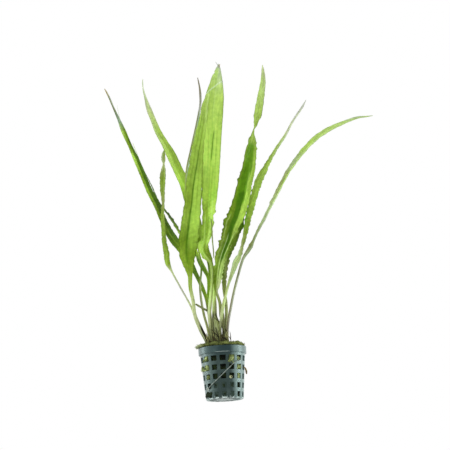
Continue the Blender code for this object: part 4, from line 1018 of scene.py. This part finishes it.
def build_pot(material):
    """The net pot with rounded edges on every bar, window and on the collar."""
    bm = bmesh.new()
    pot_base(bm, *pot_walls(bm))
    bmesh.ops.recalc_face_normals(bm, faces=bm.faces)
    mesh = bpy.data.meshes.new("fine_net_pot")
    bm.to_mesh(mesh)
    bm.free()
    mesh.materials.append(material)
    mesh.shade_smooth()
    pot = linked("fine_net_pot", mesh)
    rounding = pot.modifiers.new("rounded edges", "BEVEL")
    rounding.width = EDGE_ROUNDING * MM
    rounding.segments = 2
    rounding.limit_method = "ANGLE"
    rounding.angle_limit = math.radians(35)
    rounding.harden_normals = True
    return bake_modifiers(pot)


def film_piece(row, column, count=13):
    """A slab of silt in one window, uneven in front and smooth behind."""
    grid = np.linspace(-1, 1, count)
    high = WINDOW_TOP - row * WINDOW_PITCH + 0.15
    low = high - WINDOW_HEIGHT - 0.3
    mid = (low + high) / 2
    half = 180.0 / COLUMNS - math.degrees((bar_width(mid) / 2 - 0.15) / wall_radius(mid))
    front, rear = [], []
    for up in grid:
        for over in grid:
            z = mid + up * (high - low) / 2
            turn = column * 360.0 / COLUMNS + over * half
            grain = noise.noise(Vector((turn * 0.5, z * 0.9, 3.0)))
            slit = 0.8 * math.exp(-(over / 0.28) ** 2 - ((up + 0.1) / 0.55) ** 2) * (row == 3)
            dip = 0.12 + 0.1 * max(abs(up), abs(over)) ** 8 + 0.12 * grain + slit
            front.append(tuple(around(wall_radius(z) - dip, turn, z)))
            rear.append(tuple(around(wall_radius(z) - 1.3, turn, z)))
    corner = np.arange(count * count).reshape(count, count)
    quads = np.stack([corner[:-1, :-1], corner[:-1, 1:], corner[1:, 1:], corner[1:, :-1]], axis=-1)
    quads = quads.reshape(-1, 4)
    rim = np.concatenate([corner[0, :-1], corner[:-1, -1], corner[-1, :0:-1], corner[:0:-1, 0]])
    after = np.roll(rim, -1)
    behind = count * count
    sides = np.stack([after, rim, rim + behind, after + behind], axis=-1)
    faces = np.concatenate([quads, quads[:, ::-1] + behind, sides]).tolist()
    return np.array(front + rear), faces, {"along": np.zeros(2 * behind)}


def build_film(material):
    """Silt and algae matted level with the wall in the low windows in front."""
    pieces = [film_piece(row, column) for row in (3, 4) for column in (-1, 0, 1)]
    show(mesh_object("silt_in_windows", material, *joined(pieces)), "wool_fibre")


def bake_modifiers(obj):
    """Turn an object with modifiers into a plain mesh."""
    bpy.context.view_layer.update()
    mesh = bpy.data.meshes.new_from_object(obj.evaluated_get(bpy.context.evaluated_depsgraph_get()))
    obj.modifiers.clear()
    mesh.name = obj.name
    obj.data = mesh
    return obj


def mesh_places(mesh):
    """The places of a mesh's points, in metres."""
    places = np.empty(len(mesh.vertices) * 3)
    mesh.vertices.foreach_get("co", places)
    return places.reshape(-1, 3)


def wool_block():
    """The solid's own shape with its loose tufts, as one even mesh."""
    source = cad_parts["wool_plug"]
    mesh = source.data.copy()
    mesh.transform(source.matrix_world)
    bm = bmesh.new()
    bm.from_mesh(mesh)
    bmesh.ops.remove_doubles(bm, verts=bm.verts, dist=1e-6)
    for degrees, level, half, tall, out in TUFTS:
        place = Matrix.Translation(around(wall_radius(level) - 1.5, degrees, level) * MM)
        turned = place @ Matrix.Rotation(math.radians(degrees), 4, "Z")
        shape = Matrix.Diagonal(Vector((half, 1.5 + out, tall, 1000.0)) * MM)
        bmesh.ops.create_icosphere(bm, subdivisions=3, radius=1.0, matrix=turned @ shape)
    bm.to_mesh(mesh)
    bm.free()
    mesh.materials.clear()
    wool = linked("fine_wool_plug", mesh)
    remesh = wool.modifiers.new("even mesh", "REMESH")
    remesh.mode = "VOXEL"
    remesh.voxel_size = WOOL_GRID * MM
    return bake_modifiers(wool)


def build_wool(material):
    """The matted plug, roughened and lumpy, and sunk a little at the right of its crown."""
    wool = wool_block()
    mesh = wool.data
    mesh.materials.append(material)
    places = mesh_places(mesh)
    normals = np.empty(places.size)
    mesh.vertex_normals.foreach_get("vector", normals)
    tall = places[:, 2] / MM
    proud = np.hypot(places[:, 0], places[:, 1]) / MM - wall_radius(tall)
    rough = np.array([noise.fractal(Vector(p) * 380.0, 1.0, 2.0, 3) for p in places.tolist()])
    lumps = np.array([noise.noise(Vector(p) * 420.0) for p in places.tolist()])
    tuft = np.clip((proud + 1.3) / 0.4, 0, 1) * (tall < 46)
    lift = np.clip(rough, -1, 1) * (0.2 + 0.8 * np.clip(tall - 53.5, 0, 1))
    lift = np.where(tuft > 0, tuft * np.clip(1.6 * lumps - 0.3, -1.2, 0.3), lift)
    places += normals.reshape(-1, 3) * (lift * MM)[:, None]
    sunk = np.clip((places[:, 0] / MM - 4) / 10, 0, 1) * np.clip((places[:, 2] / MM - 54) / 1.5, 0, 1)
    places[:, 2] = np.maximum(places[:, 2] - 0.9 * MM * sunk, (BASE_THICKNESS + 0.1) * MM)
    mesh.vertices.foreach_set("co", places.ravel())
    mesh.shade_smooth()
    return wool


def fibre_tree(material):
    """Geometry Nodes that strew short curled fibres over a surface."""
    tree = bpy.data.node_groups.new("wool_fibres", "GeometryNodeTree")
    tree.interface.new_socket("Geometry", in_out="INPUT", socket_type="NodeSocketGeometry")
    for name, value in (("Fibres per square metre", 1.0), ("Curl radius", MM), ("Thickness", 0.05 * MM)):
        tree.interface.new_socket(name, in_out="INPUT", socket_type="NodeSocketFloat").default_value = value
    tree.interface.new_socket("Seed", in_out="INPUT", socket_type="NodeSocketInt")
    tree.interface.new_socket("Geometry", in_out="OUTPUT", socket_type="NodeSocketGeometry")
    surface, density, curl, thickness, seed = list(add(tree, "NodeGroupInput").outputs)[:5]
    fluff = add(tree, "GeometryNodeInputNamedAttribute", {"Name": "fluff"}, data_type="FLOAT")
    rate = add(tree, "Math", density, fluff.outputs["Attribute"], operation="MULTIPLY")
    points = add(tree, "GeometryNodeDistributePointsOnFaces", {
        "Mesh": surface, "Density": rate, "Seed": seed})
    arc = add(tree, "GeometryNodeCurveArc", {
        "Resolution": 7, "Radius": curl, "Sweep Angle": math.radians(150)})
    profile = add(tree, "GeometryNodeCurvePrimitiveCircle", {"Resolution": 3, "Radius": thickness})
    fibre = add(tree, "GeometryNodeCurveToMesh", {"Curve": arc, "Profile Curve": profile, "Fill Caps": True})
    spin = add(tree, "FunctionNodeRandomValue", {0: (0, 0, 0), 1: (6.28, 6.28, 6.28), "Seed": 3},
               data_type="FLOAT_VECTOR")
    size = add(tree, "FunctionNodeRandomValue", {2: 0.5, 3: 1.5, "Seed": 4}, data_type="FLOAT")
    strewn = add(tree, "GeometryNodeInstanceOnPoints", {
        "Points": points, "Instance": fibre, "Rotation": spin.outputs[0], "Scale": size.outputs[1]})
    real = add(tree, "GeometryNodeRealizeInstances", strewn)
    painted = add(tree, "GeometryNodeSetMaterial", {"Geometry": real, "Material": material})
    add(tree, "NodeGroupOutput", painted)
    return tree


def strew_fibres(wool, material):
    """Loose fibres on the crown and the tufts of the wool, as a piece of their own."""
    mesh = wool.data.copy()
    places = mesh_places(mesh) / MM
    tall = places[:, 2]
    proud = np.hypot(places[:, 0], places[:, 1]) - wall_radius(tall)
    tufts = np.clip((proud + 0.9) / 0.6, 0, 1) * (tall < 46) * (tall > 17)
    crown = np.clip((tall - 54.0) / 0.5, 0, 1)
    fluff = mesh.attributes.new("fluff", "FLOAT", "POINT")
    fluff.data.foreach_set("value", np.maximum(tufts * 1.5, crown).astype(np.float32))
    mesh.materials.clear()
    mesh.materials.append(material)
    fibres = linked("wool_fibres", mesh)
    tree = fibre_tree(material)
    strewing = fibres.modifiers.new("fibres", "NODES")
    strewing.node_group = tree
    sockets = {item.name: item.identifier for item in tree.interface.items_tree if item.in_out == "INPUT"}
    strewing[sockets["Fibres per square metre"]] = FIBRES_PER_SQUARE_METRE
    strewing[sockets["Curl radius"]] = FIBRE_CURL * MM
    strewing[sockets["Thickness"]] = FIBRE_THICKNESS * MM
    strewing[sockets["Seed"]] = 11
    return bake_modifiers(fibres)


def root_places(route):
    """Turn (degrees, height, stand-off) round the pot into places."""
    return [tuple(around(wall_radius(z) + stand_off + ROOT_RADIUS, degrees, z))
            for degrees, z, stand_off in route]


def build_roots(pale, brown, cut):
    """The root across the front with the threads at its end, and the dry root at the side."""
    places = root_places(OUTER_ROOT)
    root = tube(places, [0.42] * (len(places) - 1) + [0.5], 10, 0.6, 21, 0.05)
    show(mesh_object("fine_root_across_front", pale, *root), "pale_root", "root_across_front")
    threads = []
    for number, route in enumerate(ROOT_THREADS):
        ends = [tuple(around(wall_radius(z) + 0.55, degrees, z)) for degrees, z in route]
        threads.append(tube(ends, [0.35] + [0.3] * (len(ends) - 2) + [0.12], 7, 0.5, 40 + number, 0.2))
    show(mesh_object("root_end_threads", cut, *joined(threads)), "pale_root")
    root = tube(root_places(DRY_ROOT), [0.5, 0.7, 0.95, 1.1, 0.5], 9, 0.5, 22, 0.15)
    show(mesh_object("fine_root_dry_tip", brown, *root), "brown_root", "root_dry_tip")


def build_cut_root(flesh, sides=24):
    """A root cut off just outside its window, its bore painted near black as shade."""
    outward = around(1.0, CUT_ROOT_ANGLE, 0.0).normalized()
    side = outward.cross(Vector((0, 0, 1)))
    tip = wall_radius(CUT_ROOT_HEIGHT) + 0.8
    start = wall_radius(CUT_ROOT_HEIGHT) - WALL_THICKNESS + 0.1
    outline = [(start, 0.3), (start, CUT_ROOT_RADIUS), (tip - 0.35, CUT_ROOT_RADIUS),
               (tip - 0.1, CUT_ROOT_RADIUS - 0.06), (tip, CUT_ROOT_RADIUS - 0.15),
               (tip, CUT_ROOT_BORE + 0.08), (tip - 0.05, CUT_ROOT_BORE + 0.02), (tip - 2.2, CUT_ROOT_BORE)]
    wobble = 1 + 0.05 * np.random.default_rng(5).uniform(-1, 1, sides)
    verts = []
    for distance, radius in outline:
        for k in range(sides):
            angle = 2 * math.pi * k / sides
            reach = radius * wobble[k]
            place = outward * distance + side * reach * math.cos(angle)
            verts.append(tuple(place + Vector((0, 0, CUT_ROOT_HEIGHT + reach * math.sin(angle)))))
    ring = np.repeat(np.arange(len(outline)), sides)
    # painted shade: the bore is painted near black
    tint = np.where((ring >= 6)[:, None], linear("#0a0d06")[:3], linear("#dde4b4")[:3])
    attributes = {"along": ring, "across": np.zeros(len(ring)), "tint": tint}
    root = mesh_object("fine_cut_root", flesh, verts, ring_faces(len(outline), sides), attributes)
    show(root, "pale_root", "cut_root")


def build_dead_stalk(material):
    """The dead stalk, bent over in the crown, shrivelled along its length."""
    rows = np.array(DEAD_STALK)
    verts, faces, attributes = tube(rows[:, :3], rows[:, 3] / 2, 10, 0.8, 31, 0.1)
    tones = "50 foot, 80 stalk, 92 foot, 96 grey_green, 101 grey_green"
    attributes.update(tint=toned(tones, verts[:, 2]), across=np.zeros(len(verts)))
    show(mesh_object("fine_dead_stalk", material, verts, faces, attributes), "dry_leaf", "dead_stalk")


def build_litter(material, pale):
    """Dark rotten remains at the stalks' feet, dark also as painted shade, and thin scraps of pale sheath."""
    rng = np.random.default_rng(77)
    pieces = []
    for number, (start, end, thick) in enumerate(LITTER):
        middle = (np.array(start, float) + np.array(end, float)) / 2 + rng.uniform(-0.8, 0.8, 3)
        pieces.append(tube([start, middle, end], [0.12, thick, thick * 0.8], 7, 0.7, number, 0.35))
    show(mesh_object("crown_litter", material, *joined(pieces)), "brown_root")
    pieces = []
    for number in range(22):
        x = rng.uniform(-14.5, 7.5)
        y = rng.uniform(-11, -7.5)
        start = np.array([x * 1.14, y, rng.uniform(61, 72)])
        end = np.array([x, y, 57.5])
        middle = (start + end) / 2 + rng.uniform(-0.7, 0.7, 3)
        pieces.append(tube([start, middle, end], [0.08, 0.28, 0.3], 6, 0.7, 200 + number, 0.3))
    show(mesh_object("sheath_scraps", pale, *joined(pieces)), "dry_leaf")


def soft_box(name, place, size, power):
    """A rectangular soft light aimed at the middle of the plant."""
    light = bpy.data.lights.new(name, "AREA")
    light.shape = "RECTANGLE"
    light.size, light.size_y = size
    light.energy = power
    lamp = linked(name, light)
    lamp.location = place
    lamp.rotation_euler = (Vector((0, 0, 0.15)) - lamp.location).to_track_quat("-Z", "Y").to_euler()


def build_surroundings():
    """White walls behind and beside the plant, dimmer on the viewer's side."""
    world = bpy.data.worlds.new("white studio")
    world.use_nodes = True
    bpy.context.scene.world = world
    tree = world.node_tree
    tree.nodes.clear()
    direction = add(tree, "TexCoord").outputs["Generated"]
    depth = add(tree, "SeparateXYZ", direction).outputs[1]
    level = add(tree, "MapRange", depth, -0.75, 0.15, 0.5, 1.45)
    seen = add(tree, "LightPath").outputs["Is Camera Ray"]
    shown = add(tree, "Mix", {0: seen, 2: level, 3: 1.0})
    add(tree, "OutputWorld", add(tree, "Background", (1, 1, 1, 1), shown))
    bpy.context.scene.view_settings.view_transform = "Standard"


def build_stage():
    """Pale floor, white surroundings, soft lights and the camera."""
    bpy.ops.mesh.primitive_plane_add(size=12.0, location=(0, 0, -0.0002))
    floor = bpy.context.object
    floor.name = "floor"
    floor.data.materials.append(floor_material())
    build_surroundings()

    soft_box("soft box", (-0.7, -1.0, 1.1), (0.9, 0.9), 13.0)
    soft_box("strip at the right", (1.2, 0.1, 0.15), (0.3, 1.0), 9.0)
    soft_box("strip at the left", (-1.3, 0.35, 0.15), (0.3, 1.0), 5.0)

    lens = bpy.data.cameras.new("camera")
    lens.lens = CAMERA_LENS
    lens.sensor_width = 36.0
    lens.clip_start = 0.01
    lens.clip_end = 20.0
    camera = linked("camera", lens)
    raised = Matrix.Rotation(math.radians(90 + CAMERA_PITCH), 4, "X")
    rolled = Matrix.Rotation(math.radians(-CAMERA_ROLL), 4, "Z")
    camera.matrix_world = Matrix.Translation(Vector(CAMERA_PLACE) * MM) @ raised @ rolled
    bpy.context.scene.camera = camera


def main():
    """The stage, the looks and every piece."""
    build_stage()
    green = leaf_material("fresh_leaf_skin", 0.4, 0.5)
    dry = leaf_material("dried_leaf_skin", 0.2, 0.75)
    wool_look = mineral_wool()
    pale = plant_fibre("pale_root_skin", "#87918a", "#5c675f", 0.6)
    cut = plant_fibre("root_threads", "#b4bdb2", "#828d83", 0.6)
    brown = plant_fibre("brown_root_skin", "#8a7a52", "#3a3020", 0.8)
    # near black for rot and also as painted shade between the stalks
    litter_and_shade_look = plant_fibre("litter_sheath_and_shade", "#3a3514", "#131105", 0.85)

    show(build_pot(polypropylene()), "pot_plastic", "net_pot")
    wool = build_wool(wool_look)
    fibres = strew_fibres(wool, wool_look)
    show(wool, "wool_fibre", "wool_plug")
    show(fibres, "wool_fibre")
    build_leaves(green, dry)
    build_dead_stalk(dry)
    build_roots(pale, brown, cut)
    build_cut_root(dry)
    build_litter(litter_and_shade_look, plant_fibre("pale_sheath", "#a8ac6e", "#5b592a", 0.8))
    build_film(silt())


main()
